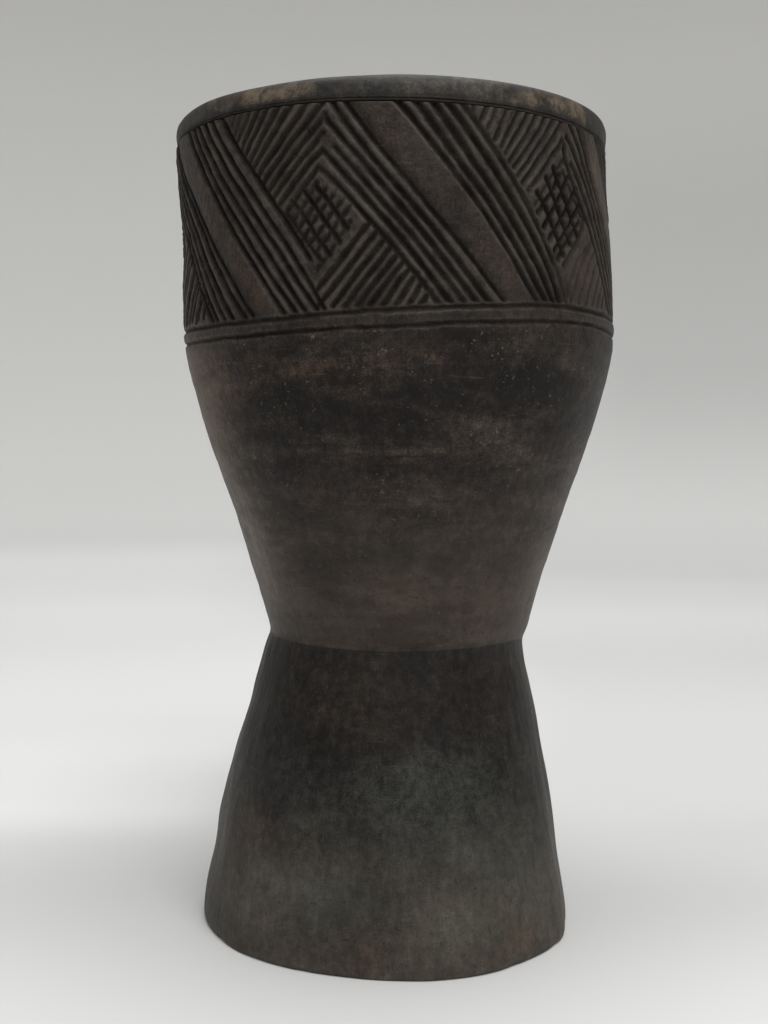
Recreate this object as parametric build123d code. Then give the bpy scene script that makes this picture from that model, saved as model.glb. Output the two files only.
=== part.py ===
from build123d import *
from math import cos, pi, radians, sin
import os

# Goblet drum: a wooden shell carved from one log, a hide head lapped over the
# rim, and a cord that binds the head.
# Millimetres. +Z is up and the origin is on the resting plane, close to the
# axis of the throat. The shell is hand cut, so its sections drift off that
# axis, all in X.

# ------------------------------------------------------------------ dimensions
HEIGHT = 410.0          # resting plane to the playing surface
WAIST_Z = 151.4         # sharp inside corner between foot and bowl
WALL_TOP_Z = 397.3      # top of the upright wall, under the rim groove

# Every stack of level sections below: (height, radius, centre in X)

# outside of the foot
FOOT_OUT = [
    (0.0, 95.2, -5.85),
    (15.0, 94.3, -5.85),
    (35.0, 90.7, -5.35),
    (55.0, 87.8, -4.85),
    (75.0, 83.8, -4.05),
    (95.0, 79.3, -3.25),
    (115.0, 74.4, -2.05),
    (135.0, 69.6, -1.05),
    (WAIST_Z, 66.2, 0.35),
]
# how far the foot's edge stands out from the circle, at even steps round it
# from the -Y side towards +X
FOOT_STANDS_OUT = [
    0.9, 4.6, 6.1, 4.9, 4.8, 1.6, 0.0, -0.6, -0.4, 0.5, 1.6, 2.4,
    2.6, 2.2, 1.5, 0.8, 0.3, 0.2, 0.3, -0.8, -1.8, -1.3, -1.1, -0.9,
]
# share of that which is left at each row of FOOT_OUT
FOOT_SHARES = [1.0, 0.86, 0.62, 0.4, 0.22, 0.09, 0.02, 0.0, 0.0]

# outside of the bowl and the upright wall above it
BOWL_OUT = [
    (WAIST_Z, 66.2, 0.75),
    (170.0, 71.8, 1.65),
    (200.0, 81.3, 1.85),
    (230.0, 91.5, 1.75),
    (260.0, 101.6, 1.95),
    (280.0, 107.2, 1.95),
    (292.0, 109.6, 1.95),
    (304.0, 110.8, 1.75),
    (320.0, 111.1, 1.35),
    (350.0, 110.5, 0.35),
    (380.0, 110.3, -1.55),
    (WALL_TOP_Z, 110.5, -2.15),
]
# hollow of the bowl, from the throat up into the rim
BOWL_IN = [
    (149.0, 40.0, 0.15),
    (163.0, 42.3, 0.35),
    (185.0, 52.0, 0.95),
    (210.0, 64.0, 1.35),
    (240.0, 78.0, 1.55),
    (270.0, 90.0, 1.65),
    (295.0, 95.8, 1.45),
    (320.0, 97.8, 0.95),
    (360.0, 97.9, -0.65),
    (400.0, 97.6, -2.15),
]
# hollow of the foot, from just below the open mouth to the throat
FOOT_IN = [
    (-1.0, 80.6, -5.65),
    (20.0, 77.0, -5.45),
    (50.0, 69.0, -4.65),
    (85.0, 58.5, -3.25),
    (115.0, 48.5, -1.65),
    (138.0, 41.6, -0.35),
    (150.0, 40.0, 0.15),
]

FOOT_EDGE_ROUND = 2.2   # outer edge of the resting face
MOUTH_BEVEL = 2.0       # width of the bevel on the resting face, round the mouth
MOUTH_CUT_INSET = 3.0   # how far the bevel's cutter reaches into the hollow
MOUTH_CUT_LOW_Z = -1.0

# turned grooves round the lower part of the wall: (height, width, depth)
WALL_GROOVES = [(301.0, 2.2, 1.8), (307.6, 1.5, 1.2)]
WALL_GROOVE_FLOOR = 0.5     # width of the flat floor
WALL_GROOVE_REACH = 4.0     # how far the cutter stands out from the wall
WALL_GROOVE_FLARE = 0.4     # extra half width at the cutter's outer side

HIDE = 0.9              # thickness of the hide
GLUE = 0.05             # glue film between the hide and the wood

# rim; all radii are from its own centre
RIM_X = -2.15
LIP_R = 6.0             # section radius of the rolled lip, over the hide
WOOD_LIP_R = LIP_R - HIDE - GLUE
LIP_CENTRE_R = 104.4    # ring on which the lip's section is centred
LIP_CENTRE_Z = HEIGHT - LIP_R
RIM_IN_R = 97.6         # inside of the rim wall
CREST_ROUND = 3.4       # rounding of the rim's inner edge
RIM_GROOVE_R = 107.4    # floor of the groove under the lip
RIM_GROOVE_TOP_Z = 400.1
# the rim's root overlaps the wall, and its ledge is trimmed by the hollow
RIM_LOW_Z = 396.0
LEDGE_IN_R = RIM_IN_R - 6.0
LEDGE_IN_Z = 398.0
LEDGE_OUT_Z = 399.0

# hide's skirt over the lip, and the tuck down the floor of the groove
SKIRT_OUT_R = LIP_CENTRE_R + LIP_R
SKIRT_IN_R = SKIRT_OUT_R - HIDE
SKIRT_LOW_Z = 399.9     # where the skirt turns into the groove
SKIRT_BEVEL = 0.75
TUCK_IN_R = RIM_GROOVE_R + GLUE
TUCK_OUT_R = TUCK_IN_R + HIDE
TUCK_LOW_Z = 397.75

CORD_R = 0.68
CORD_Z = 398.45
CORD_GAP = 0.03         # clearance between the cord and the tuck


# --------------------------------------------------------------------- helpers
def stack(rows):
    """Smooth solid through a stack of level circles."""
    return loft([Plane(origin=(centre_x, 0, z)) * Circle(radius) for z, radius, centre_x in rows])


def hand_cut(rows, stands_out, shares):
    """Smooth solid through level circles with a little added or taken off
    at even steps round them."""
    sections = []
    steps = len(stands_out)
    for (z, radius, centre_x), share in zip(rows, shares):
        points = []
        for i in range(steps):
            # steps count from -Y, but the spline's seam is at +X
            step = (i + steps // 4) % steps
            turn = 2 * pi * step / steps
            reach = radius + share * stands_out[step]
            points.append((centre_x + reach * sin(turn), -reach * cos(turn), z))
        sections.append(Face(Wire([Edge.make_spline(points, periodic=True)])))
    return loft(sections)


def section_at(rows, z):
    """Radius and centre of a stack at a height, read straight between rows."""
    for (low_z, low_r, low_x), (high_z, high_r, high_x) in zip(rows, rows[1:]):
        if low_z <= z <= high_z:
            part = (z - low_z) / (high_z - low_z)
            return low_r + part * (high_r - low_r), low_x + part * (high_x - low_x)
    raise ValueError(z)


# Outlines are lists of edges through (radius, height) points.
def lines(*points):
    """Straight edges from each point to the next."""
    places = [Vector(radius, 0, z) for radius, z in points]
    return [Edge.make_line(start, end) for start, end in zip(places, places[1:])]


def arc(*points):
    """One arc through its start, middle and end."""
    return [Edge.make_three_point_arc(*[Vector(radius, 0, z) for radius, z in points])]


def on_circle(centre_r, centre_z, radius, degrees):
    """Point on a circle in the outline, 0 degrees pointing out and 90 up."""
    turn = radians(degrees)
    return centre_r + radius * cos(turn), centre_z + radius * sin(turn)


def on_lip(radius, degrees):
    """Point on a circle round the lip's centre."""
    return on_circle(LIP_CENTRE_R, LIP_CENTRE_Z, radius, degrees)


def lip_arc(radius, first, last):
    """Arc round the lip's centre between two angles."""
    return arc(*[on_lip(radius, angle) for angle in (first, (first + last) / 2, last)])


def turned(outline, centre_x):
    """Solid of revolution about the vertical line at centre_x."""
    face = Face(Wire(outline))
    return Pos(centre_x, 0, 0) * revolve(face, axis=Axis.Z, revolution_arc=360)


# ----------------------------------------------------------------------- shell
def make_foot():
    foot = hand_cut(FOOT_OUT, FOOT_STANDS_OUT, FOOT_SHARES)
    resting_edge = foot.edges().sort_by(Axis.Z)[0]
    return fillet(resting_edge, FOOT_EDGE_ROUND)


def make_rim():
    """Groove floor, rolled lip, crest and rounded inner edge."""
    crest_z = LIP_CENTRE_Z + WOOD_LIP_R
    crest_in_r = RIM_IN_R + CREST_ROUND
    round_z = crest_z - CREST_ROUND
    crest_in = (crest_in_r, crest_z)
    wall_top = (RIM_IN_R, round_z)
    root = (LEDGE_IN_R, RIM_LOW_Z)
    outline = lines(
        root,
        (RIM_GROOVE_R, RIM_LOW_Z),
        (RIM_GROOVE_R, RIM_GROOVE_TOP_Z),
        (LIP_CENTRE_R + WOOD_LIP_R, RIM_GROOVE_TOP_Z),
        on_lip(WOOD_LIP_R, 0),
    )
    outline += lip_arc(WOOD_LIP_R, 0, 90)
    outline += lines(on_lip(WOOD_LIP_R, 90), crest_in)
    outline += arc(crest_in, on_circle(crest_in_r, round_z, CREST_ROUND, 135), wall_top)
    outline += lines(wall_top, (RIM_IN_R, LEDGE_OUT_Z), (LEDGE_IN_R, LEDGE_IN_Z), root)
    return turned(outline, RIM_X)


def wall_groove_cutter(z, width, depth):
    wall_r, centre_x = section_at(BOWL_OUT, z)
    outer_r = wall_r + WALL_GROOVE_REACH
    floor_r = wall_r - depth
    half_outer = width / 2 + WALL_GROOVE_FLARE
    half_floor = WALL_GROOVE_FLOOR / 2
    outline = lines(
        (outer_r, z - half_outer),
        (floor_r, z - half_floor),
        (floor_r, z + half_floor),
        (outer_r, z + half_outer),
        (outer_r, z - half_outer),
    )
    return turned(outline, centre_x)


def mouth_cutter():
    """Bevels the inner edge of the foot's mouth at 45 degrees."""
    mouth_r, centre_x = section_at(FOOT_IN, 0.0)
    inner_r = mouth_r - MOUTH_CUT_INSET
    outer_r = mouth_r + MOUTH_BEVEL
    outline = lines(
        (inner_r, MOUTH_CUT_LOW_Z),
        (outer_r, MOUTH_CUT_LOW_Z),
        (outer_r, 0.0),
        (inner_r, MOUTH_BEVEL + MOUTH_CUT_INSET),
        (inner_r, MOUTH_CUT_LOW_Z),
    )
    return turned(outline, centre_x)


def make_shell():
    shell = make_foot() + stack(BOWL_OUT) + make_rim()
    shell = shell - stack(BOWL_IN) - stack(FOOT_IN)
    for z, width, depth in WALL_GROOVES:
        shell = shell - wall_groove_cutter(z, width, depth)
    return shell - mouth_cutter()


# -------------------------------------------------------------------- drumhead
def make_drumhead():
    """One hide: flat disc, roll over the lip, short skirt, and a tuck that
    turns in under the lip and down the floor of the groove."""
    disc_low_z = HEIGHT - HIDE
    inner_lip_r = LIP_R - HIDE
    turn_z = SKIRT_LOW_Z - SKIRT_BEVEL
    tuck_top_z = RIM_GROOVE_TOP_Z - GLUE
    outline = lines((0.0, disc_low_z), (0.0, HEIGHT), on_lip(LIP_R, 90))
    outline += lip_arc(LIP_R, 90, 0)
    outline += lines(
        on_lip(LIP_R, 0),
        (SKIRT_OUT_R, SKIRT_LOW_Z),
        (SKIRT_OUT_R - SKIRT_BEVEL, turn_z),
        (TUCK_OUT_R, turn_z),
        (TUCK_OUT_R, TUCK_LOW_Z),
        (TUCK_IN_R, TUCK_LOW_Z),
        (TUCK_IN_R, tuck_top_z),
        (SKIRT_IN_R, tuck_top_z),
        on_lip(inner_lip_r, 0),
    )
    outline += lip_arc(inner_lip_r, 0, 90)
    outline += lines(on_lip(inner_lip_r, 90), (0.0, disc_low_z))
    return turned(outline, RIM_X)


# ---------------------------------------------------------------- head binding
def make_head_binding():
    """One turn of cord in the groove, round the hide's tuck."""
    return Pos(RIM_X, 0, CORD_Z) * Torus(TUCK_OUT_R + CORD_GAP + CORD_R, CORD_R)


# ---------------------------------------------------------------------- export
os.makedirs("parts", exist_ok=True)
pieces = {
    "shell": make_shell(),
    "drumhead": make_drumhead(),
    "head_binding": make_head_binding(),
}
for name, piece in pieces.items():
    export_step(piece, "parts/" + name + ".step")
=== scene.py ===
"""A goblet drum: one carved log with a hollow bowl and foot, a hide head and the cord
that binds it. It stands on z = 0 along +Z, with its front towards -Y.

Shapes are in millimetres and are written to Blender in metres. Angles are in degrees
round the drum, from the -Y side towards +X. A "turn" or "theta" is such an angle."""
import bpy, math
import numpy as np
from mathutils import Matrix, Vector


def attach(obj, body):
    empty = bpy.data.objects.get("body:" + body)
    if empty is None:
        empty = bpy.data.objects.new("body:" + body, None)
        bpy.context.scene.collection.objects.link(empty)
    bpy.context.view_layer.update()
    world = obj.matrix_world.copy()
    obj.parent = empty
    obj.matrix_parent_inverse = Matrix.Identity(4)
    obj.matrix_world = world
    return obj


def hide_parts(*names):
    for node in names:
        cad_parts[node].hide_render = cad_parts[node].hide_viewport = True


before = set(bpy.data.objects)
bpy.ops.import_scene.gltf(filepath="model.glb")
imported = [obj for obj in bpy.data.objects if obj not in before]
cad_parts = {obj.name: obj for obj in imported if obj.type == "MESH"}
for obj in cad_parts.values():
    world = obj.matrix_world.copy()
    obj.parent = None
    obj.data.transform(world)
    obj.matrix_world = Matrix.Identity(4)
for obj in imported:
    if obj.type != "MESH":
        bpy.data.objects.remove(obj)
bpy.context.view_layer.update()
scene = bpy.context.scene
MM = 0.001

# ------------------------------------------------------------ carved pattern
# The band holds slanting plain bars with a carved field between each two of them. A line
# given as a list of angles has one for each of these heights, and a shorter list belongs
# to the lowest of them.
ROWS = np.arange(396.0, 311.0, -6.0)
TOP, LOW = 399.5, 304.0         # how far such a line is run out past its ends

# both edges of the plain bars A, B and C
BAR_A_LEFT = np.array([
    -75, -72.6, -70, -67.7, -64.9, -62.3, -59.6, -57.1, -54.7, -52.3, -49.9, -47.3, -44.6, -42.1, -39.7])
BAR_A_RIGHT = np.array([
    -61.7, -59.5, -57.3, -55.3, -53.1, -51, -48.8, -47, -44.6, -42.2, -39.6, -37, -34.5, -32.4, -30.1])
BAR_B_LEFT = np.array([
    -10.3, -8.1, -5.9, -3.6, -1.2, 1.1, 3.6, 6.1, 8.6, 11.2, 13.8, 16.4, 18.9, 21.4, 24.1])
BAR_B_RIGHT = np.array([
    1.7, 4.2, 6.9, 9.3, 11.6, 13.8, 16.2, 18.4, 20.8, 23.1, 25.1, 27.1, 29.2, 31.4, 33.6])
BAR_C_LEFT = np.array([
    51.8, 53.6, 55.5, 57.3, 59.2, 61.2, 63.2, 65.2, 67.4, 69.8, 72.2, 74.6, 77, 79.4, 81.8])
BAR_C_RIGHT = np.array([
    62.6, 64.8, 67, 69.2, 71.5, 73.9, 76.2, 78.5, 80.9, 83.2, 85.4, 87.6, 89.8, 92.2, 94.6])

# Long grooves beside the bars: (angles, depth, half width).
# Field 1 lies between bars A and B. Its left grooves run beside A, its right ones beside B.
F1_LEFT = [
    ([-58.5, -56.4, -54.4, -52.4, -50.2, -48.2, -46, -43.8, -41.5, -38.9, -36.5, -34.4, -32, -29.5,
      -27.1], 1.9, 1.9),
    ([-55.7, -53.3, -51.2, -49.1, -47.1, -44.9, -42.5, -40.4, -38.1, -35.5, -33.2, -30.9, -28.7,
      -26.7, -24.4], 1.9, 1.9),
    ([-52.4, -50, -47.8, -45.9, -43.8, -41.6, -39.2, -36.9, -34.7, -32.2, -29.9, -27.8, -25.7,
      -23.5, -21.3], 1.9, 1.9),
    ([-49, -46.8, -44.6, -42.3, -40.4, -38.1, -35.9, -33.7, -31.4, -29.1, -26.8, -24.7, -22.5,
      -20.8, -19.1], 1.9, 1.9),
    ([-45, -42.8, -40.6, -38.3, -36, -33.8, -31.8, -29.7, -27.5, -25.2, -22.9, -20.8, -19.2, -18,
      -17], 2.0, 2.2),
]
F1_RIGHT = [
    ([-13.4, -11.7, -9.3, -7, -4.8, -2.4, 0, 2.6, 5.1, 7.5, 10.1, 12.4, 14.7, 17.4, 20.1], 2.0, 2.0),
    ([-15.2, -12.7, -10, -7.8, -5.5, -3.1, -0.5, 2.1, 4.5, 7, 9.5, 11.7, 14.1, 16.8], 2.0, 2.0),
    ([-13.6, -11.1, -8.8, -6.3, -3.8, -1.3, 1.3, 4, 6.4, 8.9, 11.1, 13.6], 1.7, 1.8),
    ([-14.4, -11.9, -9.4, -6.8, -4.2, -1.3, 1, 3.3, 5.6, 7.9, 10.3], 2.1, 2.0),
    ([-15.7, -13.1, -10.3, -7.6, -5, -2.3, 0.1, 2.5, 5, 7.4], 1.9, 1.8),
]
# field 2 lies between bars B and C
F2_LEFT = [
    ([5.8, 8.2, 10.3, 12.4, 14.6, 16.8, 19.3, 21.7, 24, 25.9, 28.2, 30.3, 32.1, 34.2, 36.7], 2.2, 2.3),
    ([9.7, 12, 14, 16, 18.2, 20.4, 22.6, 25, 27.1, 29.2, 31.4, 33.5, 35.4, 37.3, 39.3], 2.2, 2.3),
    ([12.9, 15.5, 17.9, 20.1, 22.2, 24.3, 26.5, 28.8, 31, 32.9, 34.8, 36.8, 38.7, 40.3, 41.4], 2.2, 2.2),
    ([16.5, 19, 21.4, 23.8, 26.1, 28.3, 30.3, 32.2, 34.1, 35.9, 37.7, 39.5, 41.1, 42.4, 43.4], 1.6, 1.9),
]
F2_RIGHT = [
    ([48.6, 50.8, 52.7, 54.7, 56.7, 58.6, 60.3, 62.2, 64.4, 66.6, 69, 71.2, 73.5, 75.8, 78.2], 1.8, 1.9),
    ([46.8, 49.6, 52, 54.2, 55.9, 57.7, 59.2, 61.1, 63.4, 65.6, 67.5, 69.4, 71.6, 74], 1.8, 1.9),
    ([48.3, 50.2, 52.3, 54.3, 56.5, 58.2, 60.2, 62.1, 64.1, 66, 68.2, 70.6], 1.6, 1.8),
    ([45.4, 46, 47, 48.9, 51, 53.2, 55.4, 57.2, 59.2, 61.2, 63.1, 65.2, 67.4], 1.7, 1.8),
]

# Free grooves: ([(angle, height), ...], depth, half width)
F1_LINES = [
    # hatching above the diamond
    ([(-40, 398), (-41.2, 392), (-42.6, 388.5)], 0.56, 1.3),
    ([(-37.8, 398), (-39.3, 392), (-40.8, 388), (-41.3, 386)], 0.72, 1.4),
    ([(-35.2, 398), (-37.2, 392), (-39, 388), (-40.4, 383.5)], 1.04, 1.6),
    ([(-32.6, 398), (-34.7, 392), (-36.4, 388), (-38, 384), (-39.1, 380)], 1.28, 1.7),
    ([(-30.1, 398), (-32.2, 392), (-33.9, 388), (-35.7, 384), (-37.1, 380), (-38, 377.5)], 1.36, 1.8),
    ([(-26.9, 398), (-29.1, 392), (-30.9, 388), (-32.6, 384), (-34.3, 380), (-36.1, 376),
      (-37, 374)], 1.36, 1.8),
    ([(-23.6, 398), (-26.3, 392), (-28, 388), (-29.8, 384), (-31.6, 380), (-33.6, 376),
      (-35.6, 371.5)], 1.44, 1.9),
    ([(-19.8, 398), (-22.3, 392), (-24.2, 388), (-26.2, 384), (-28.1, 380), (-30.3, 376),
      (-32.6, 372), (-34.4, 368)], 1.6, 2.0),
    ([(-15.7, 398), (-18.5, 392), (-20.5, 388), (-22.8, 384), (-25.2, 380), (-27, 376),
      (-29.2, 372), (-31.4, 368), (-33.2, 364.5)], 1.6, 2.0),
    ([(-15.6, 391.8), (-17.4, 388), (-19.4, 384), (-21.7, 380), (-23.8, 376), (-26.1, 372),
      (-28.1, 368), (-30.1, 364), (-31.7, 361)], 1.6, 2.0),
    ([(-16.3, 384.4), (-18.3, 380), (-20.7, 376), (-23, 372), (-25, 368), (-27.1, 364),
      (-29.2, 360), (-30.4, 357.8)], 1.44, 1.8),
    ([(-16.6, 377), (-19.9, 372), (-21.9, 368), (-24, 364), (-26, 360), (-28, 356),
      (-29.4, 353.3)], 1.6, 1.9),
    ([(-16.6, 377), (-15.5, 374.5), (-14.4, 372)], 1.68, 2.0),
    ([(-15.6, 391.8), (-15.2, 390)], 1.6, 2.0),
    ([(-18, 369.8), (-20.7, 364), (-22.6, 360), (-24.4, 356), (-26.4, 352), (-27.6, 349.5)], 1.36, 1.6),
    ([(-18, 369.8), (-16.9, 368), (-15.7, 366)], 1.44, 1.7),
    # edge of the diamond and the hatching under it
    ([(-11.2, 345.5), (-13.2, 340.5), (-14.9, 336), (-16.3, 332), (-17.8, 328.5), (-19.3, 325)], 0.96, 1.5),
    ([(-6.6, 345), (-9, 340), (-10.6, 336), (-12.3, 332), (-14, 328), (-15.7, 324), (-17.5, 320),
      (-19.5, 315.8)], 1.68, 1.8),
    ([(-5.2, 341), (-7.3, 336), (-9, 332), (-10.7, 328), (-12.4, 324), (-14.1, 320),
      (-15.8, 316), (-17.8, 312), (-19, 309.5)], 1.68, 1.7),
    ([(-3.2, 338), (-4.1, 336), (-5.8, 332), (-7.6, 328), (-9.3, 324), (-10.9, 320),
      (-12.5, 316), (-14.1, 312), (-15.6, 308.5)], 1.68, 1.7),
    ([(-1.9, 334.5), (-3.1, 332), (-4.6, 328), (-6.3, 324), (-8, 320), (-9.6, 316), (-11.2, 312),
      (-12.9, 308)], 1.68, 1.7),
    ([(-0.6, 331.2), (-1.8, 328), (-3.4, 324), (-5.2, 320), (-6.9, 316), (-8.4, 312),
      (-10, 308)], 1.68, 1.7),
    ([(0.9, 328), (-0.8, 324), (-2.5, 320), (-4.1, 316), (-5.7, 312), (-7.2, 308)], 1.68, 1.7),
    ([(2.3, 325), (1.5, 323), (0, 320), (-1.4, 316), (-2.8, 312), (-4.3, 308)], 1.68, 1.7),
    ([(3.8, 322.2), (2.7, 320), (1.4, 316), (0.1, 312), (-1.2, 308)], 1.6, 1.7),
    ([(5.3, 318.5), (4, 316), (2.8, 312), (1.5, 308)], 1.52, 1.6),
    ([(6.8, 314.8), (5.6, 312), (4.3, 308)], 1.76, 1.7),
    # rows of small pyramids in the diamond: cuts that lean one way, then the other
    ([(-19, 361.5), (-17.1, 357), (-15.9, 354), (-13.9, 348), (-12.2, 342.5)], 2.05, 2.0),
    ([(-21.9, 359.5), (-20, 354), (-17.9, 348), (-15.7, 342), (-14, 337)], 2.05, 2.0),
    ([(-25, 355.5), (-23.2, 351), (-21, 345), (-19.3, 339), (-18.1, 336), (-16.4, 331.5)], 1.66, 2.0),
    ([(-27, 350.5), (-25.2, 346.5), (-23.4, 341.8), (-21.4, 336.6), (-19.6, 331.8),
      (-18, 328.2)], 1.37, 1.9),
    ([(-18.6, 363), (-20.9, 357), (-23.2, 351), (-25.9, 345)], 1.17, 1.6),
    ([(-16.9, 360), (-20.3, 351.5), (-23.1, 345), (-24.5, 341.5)], 1.46, 1.7),
    ([(-15, 357), (-18, 351), (-20.5, 345), (-22.8, 339)], 1.46, 1.7),
    ([(-13.3, 354), (-14.9, 351), (-17.2, 345), (-19.8, 339), (-21.4, 335.5)], 1.46, 1.7),
    ([(-11.8, 350.4), (-13, 348), (-15.2, 343), (-18.1, 336), (-19.8, 332)], 1.46, 1.7),
    # short cuts in the plain strip to the right of them
    ([(-13.5, 360.5), (-15, 357.5)], 0.5, 1.2),
    ([(-10.6, 352.9), (-12.9, 348.6)], 0.9, 1.3),
    ([(-11.6, 356.8), (-13.2, 353.6)], 0.5, 1.2),
]
F2_LINES = [
    # hatching above the diamond
    ([(18.8, 398), (18.4, 394)], 1.25, 1.38),
    ([(22.2, 398), (20.9, 392), (20.1, 389.5)], 1.32, 1.47),
    ([(24.7, 398), (23.6, 392), (22.3, 388), (21.9, 386.4)], 1.06, 1.29),
    ([(27.8, 398), (26.1, 392), (25.2, 388), (23.9, 382.5)], 1.32, 1.66),
    ([(30.9, 398), (29.2, 392), (28, 388), (26.7, 384), (25.5, 379.5)], 1.32, 1.66),
    ([(33.6, 398), (32, 392), (30.6, 388), (29, 384), (27.6, 380), (26.6, 377)], 1.32, 1.66),
    ([(36.3, 398), (34.7, 392), (33.3, 388), (31.7, 384), (30.1, 380), (28.5, 376),
      (27.6, 374)], 1.32, 1.66),
    ([(39.2, 398), (37.5, 392), (36.1, 388), (34.5, 384), (32.8, 380), (30.9, 376),
      (28.7, 371.5)], 1.32, 1.66),
    ([(42.2, 398), (40, 392), (38.7, 388), (37, 384), (35.3, 380), (33.6, 376), (31.6, 372),
      (29.6, 368)], 1.32, 1.66),
    ([(45.3, 398), (43.1, 392), (41.5, 388), (39.8, 384), (37.9, 380), (36, 376), (34.2, 372),
      (32.2, 368), (30.8, 365)], 1.39, 1.75),
    ([(44.9, 388.3), (43.4, 384), (41.2, 380), (39.4, 376), (37.6, 372), (35.7, 368),
      (33.7, 364), (32.5, 361.8)], 1.39, 1.75),
    ([(44.9, 388.3), (45.4, 386)], 1.06, 1.56),
    ([(45.4, 379.2), (42.4, 374), (40, 369.5), (37.6, 364.5), (36, 360), (34, 355.5)], 1.06, 1.56),
    ([(45.4, 379.2), (46.4, 375), (47, 372)], 1.06, 1.56),
    # rows of larger pyramids in the diamond: cuts that lean one way, then the other
    ([(35.2, 361.5), (36.9, 357), (38.6, 352), (40.2, 346), (41.8, 340), (43, 335)], 2.27, 2.38),
    ([(38.4, 368.5), (39.9, 362.6), (41.4, 357), (43, 351), (44.5, 345), (45.8, 340.5)], 2.27, 2.38),
    ([(41.3, 374), (43, 366.5), (44.8, 360), (46.5, 354), (48, 348.5), (49.2, 344.5)], 2.27, 2.28),
    ([(44.6, 373), (47, 366.2), (49, 360), (51, 354.5)], 1.3, 1.71),
    ([(43.2, 371.5), (41.6, 367), (40, 363), (38, 359), (36.4, 355.5), (34.9, 352.5)], 1.94, 2.1),
    ([(46.6, 371), (44.9, 367), (43.1, 362), (40.9, 357), (38.7, 351), (36.7, 346.5)], 2.05, 2.18),
    ([(49.5, 366.5), (47.6, 362), (45.6, 357), (42.8, 351), (40.2, 345), (38.2, 341)], 2.05, 2.18),
    ([(50.6, 359.5), (48.6, 354.8), (46, 349), (43.6, 344), (41.6, 339.6), (39.9, 336)], 2.05, 2.18),
    ([(49.6, 350.6), (46.6, 345), (44.2, 340.2), (42, 335), (41, 332.4)], 1.73, 2.0),
    # edge of the diamond, worn nearly smooth, and the worn hatching under it
    ([(52.6, 354.5), (50.3, 346.5), (47.6, 340), (45, 334.2), (42.8, 329.4)], 1.0, 2.0),
    ([(56.2, 344.8), (52.4, 339.6), (48.2, 332.8), (45.6, 325.5), (43.6, 317.5), (43, 313)], 0.62, 1.6),
    ([(57, 343.2), (53.8, 339.4), (50.2, 332.8), (47.9, 325), (46, 317), (45.1, 313)], 0.55, 1.3),
    ([(58, 340.2), (56, 337.4), (53, 331), (50.8, 324), (48.9, 316.5), (48.2, 313)], 0.55, 1.3),
    ([(60, 336.6), (56.6, 331), (54, 323), (52, 315.4), (51.5, 313)], 0.55, 1.3),
    ([(61.2, 332), (59.8, 329), (57.2, 321.5), (55.4, 315), (54.9, 313)], 0.5, 1.3),
    ([(62.4, 328.6), (60.4, 322.4), (58.8, 316.5), (58, 313)], 0.5, 1.2),
    ([(63.8, 324), (62.2, 318.4), (60.9, 313)], 0.5, 1.2),
    ([(65.6, 319.6), (64.4, 316), (63.7, 313)], 0.45, 1.1),
]


def evened(values):
    """A line with its small wobble taken out."""
    line = np.array(values, float)
    for _ in range(3):
        line[1:-1] = 0.25 * line[:-2] + 0.5 * line[1:-1] + 0.25 * line[2:]
    return line


def at_rows(values, z):
    """Angle of a line given on ROWS at the heights z, carried on past its ends."""
    heights, angle = ROWS[-len(values):][::-1], np.asarray(values, float)[::-1]
    out = np.interp(z, heights, angle)
    for past, end, inner in ((z < heights[0], 0, 1), (z > heights[-1], -1, -2)):
        slope = (angle[end] - angle[inner]) / (heights[end] - heights[inner])
        out[past] = angle[end] + (z[past] - heights[end]) * slope
    return out


def as_line(values):
    """(angle, height) points of a line given on ROWS, run out at the bottom and, if it
    starts in the top row, at the top."""
    values = evened(values)
    start = [TOP] if len(values) == len(ROWS) else []
    heights = np.concatenate([start, ROWS[-len(values):], [LOW]])
    return np.stack([at_rows(values, heights), heights], 1)


def as_lines(table):
    return [(as_line(values), depth, width) for values, depth, width in table]


def free_lines(table):
    return [(np.array(points, float), depth, width) for points, depth, width in table]


def field_one():
    lines = as_lines(F1_LEFT)
    # the last of them ends at the low tip of the diamond
    points, depth, width = lines[-1]
    lines[-1] = (points[points[:, 1] > 326], depth, width)
    return lines + as_lines(F1_RIGHT) + free_lines(F1_LINES)


def field_two():
    lines = as_lines(F2_LEFT)
    # the last of them is shallower below the diamond
    points, depth, width = lines[-1]
    lines[-1] = (points[points[:, 1] > 328], depth, width)
    lines.append((points[points[:, 1] < 332], 0.9, 1.5))
    return lines + as_lines(F2_RIGHT) + free_lines(F2_LINES)


def to_share(lines, left, right):
    """Lines with their angle turned into a share of the field's width."""
    out = []
    for points, depth, width in lines:
        angle, z = points.T
        start, end = at_rows(left, z), at_rows(right, z)
        out.append((np.stack([(angle - start) / (end - start), z], 1), depth, width))
    return out


def from_share(lines, left, right):
    out = []
    for points, depth, width in lines:
        share, z = points.T
        start, end = at_rows(left, z), at_rows(right, z)
        out.append((np.stack([start + share * (end - start), z], 1), depth, width))
    return out


def jitter(lines, rng, off_height=0.5):
    """The same lines cut again by hand: every point a little off."""
    off_share = 0.006
    out = []
    for points, depth, width in lines:
        p = points.copy()
        move_share, move_z = rng.normal(0, off_share), rng.normal(0, off_height)
        p[:, 0] += move_share + rng.normal(0, off_share * 0.5, len(p))
        inner = (p[:, 1] < 397) & (p[:, 1] > 306)
        p[inner, 1] += move_z + rng.normal(0, off_height * 0.4, int(inner.sum()))
        depth = depth * float(np.clip(rng.normal(1.0, 0.12), 0.6, 1.3))
        width = width * float(np.clip(rng.normal(1.0, 0.06), 0.8, 1.2))
        out.append((p, depth, width))
    return out


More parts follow.
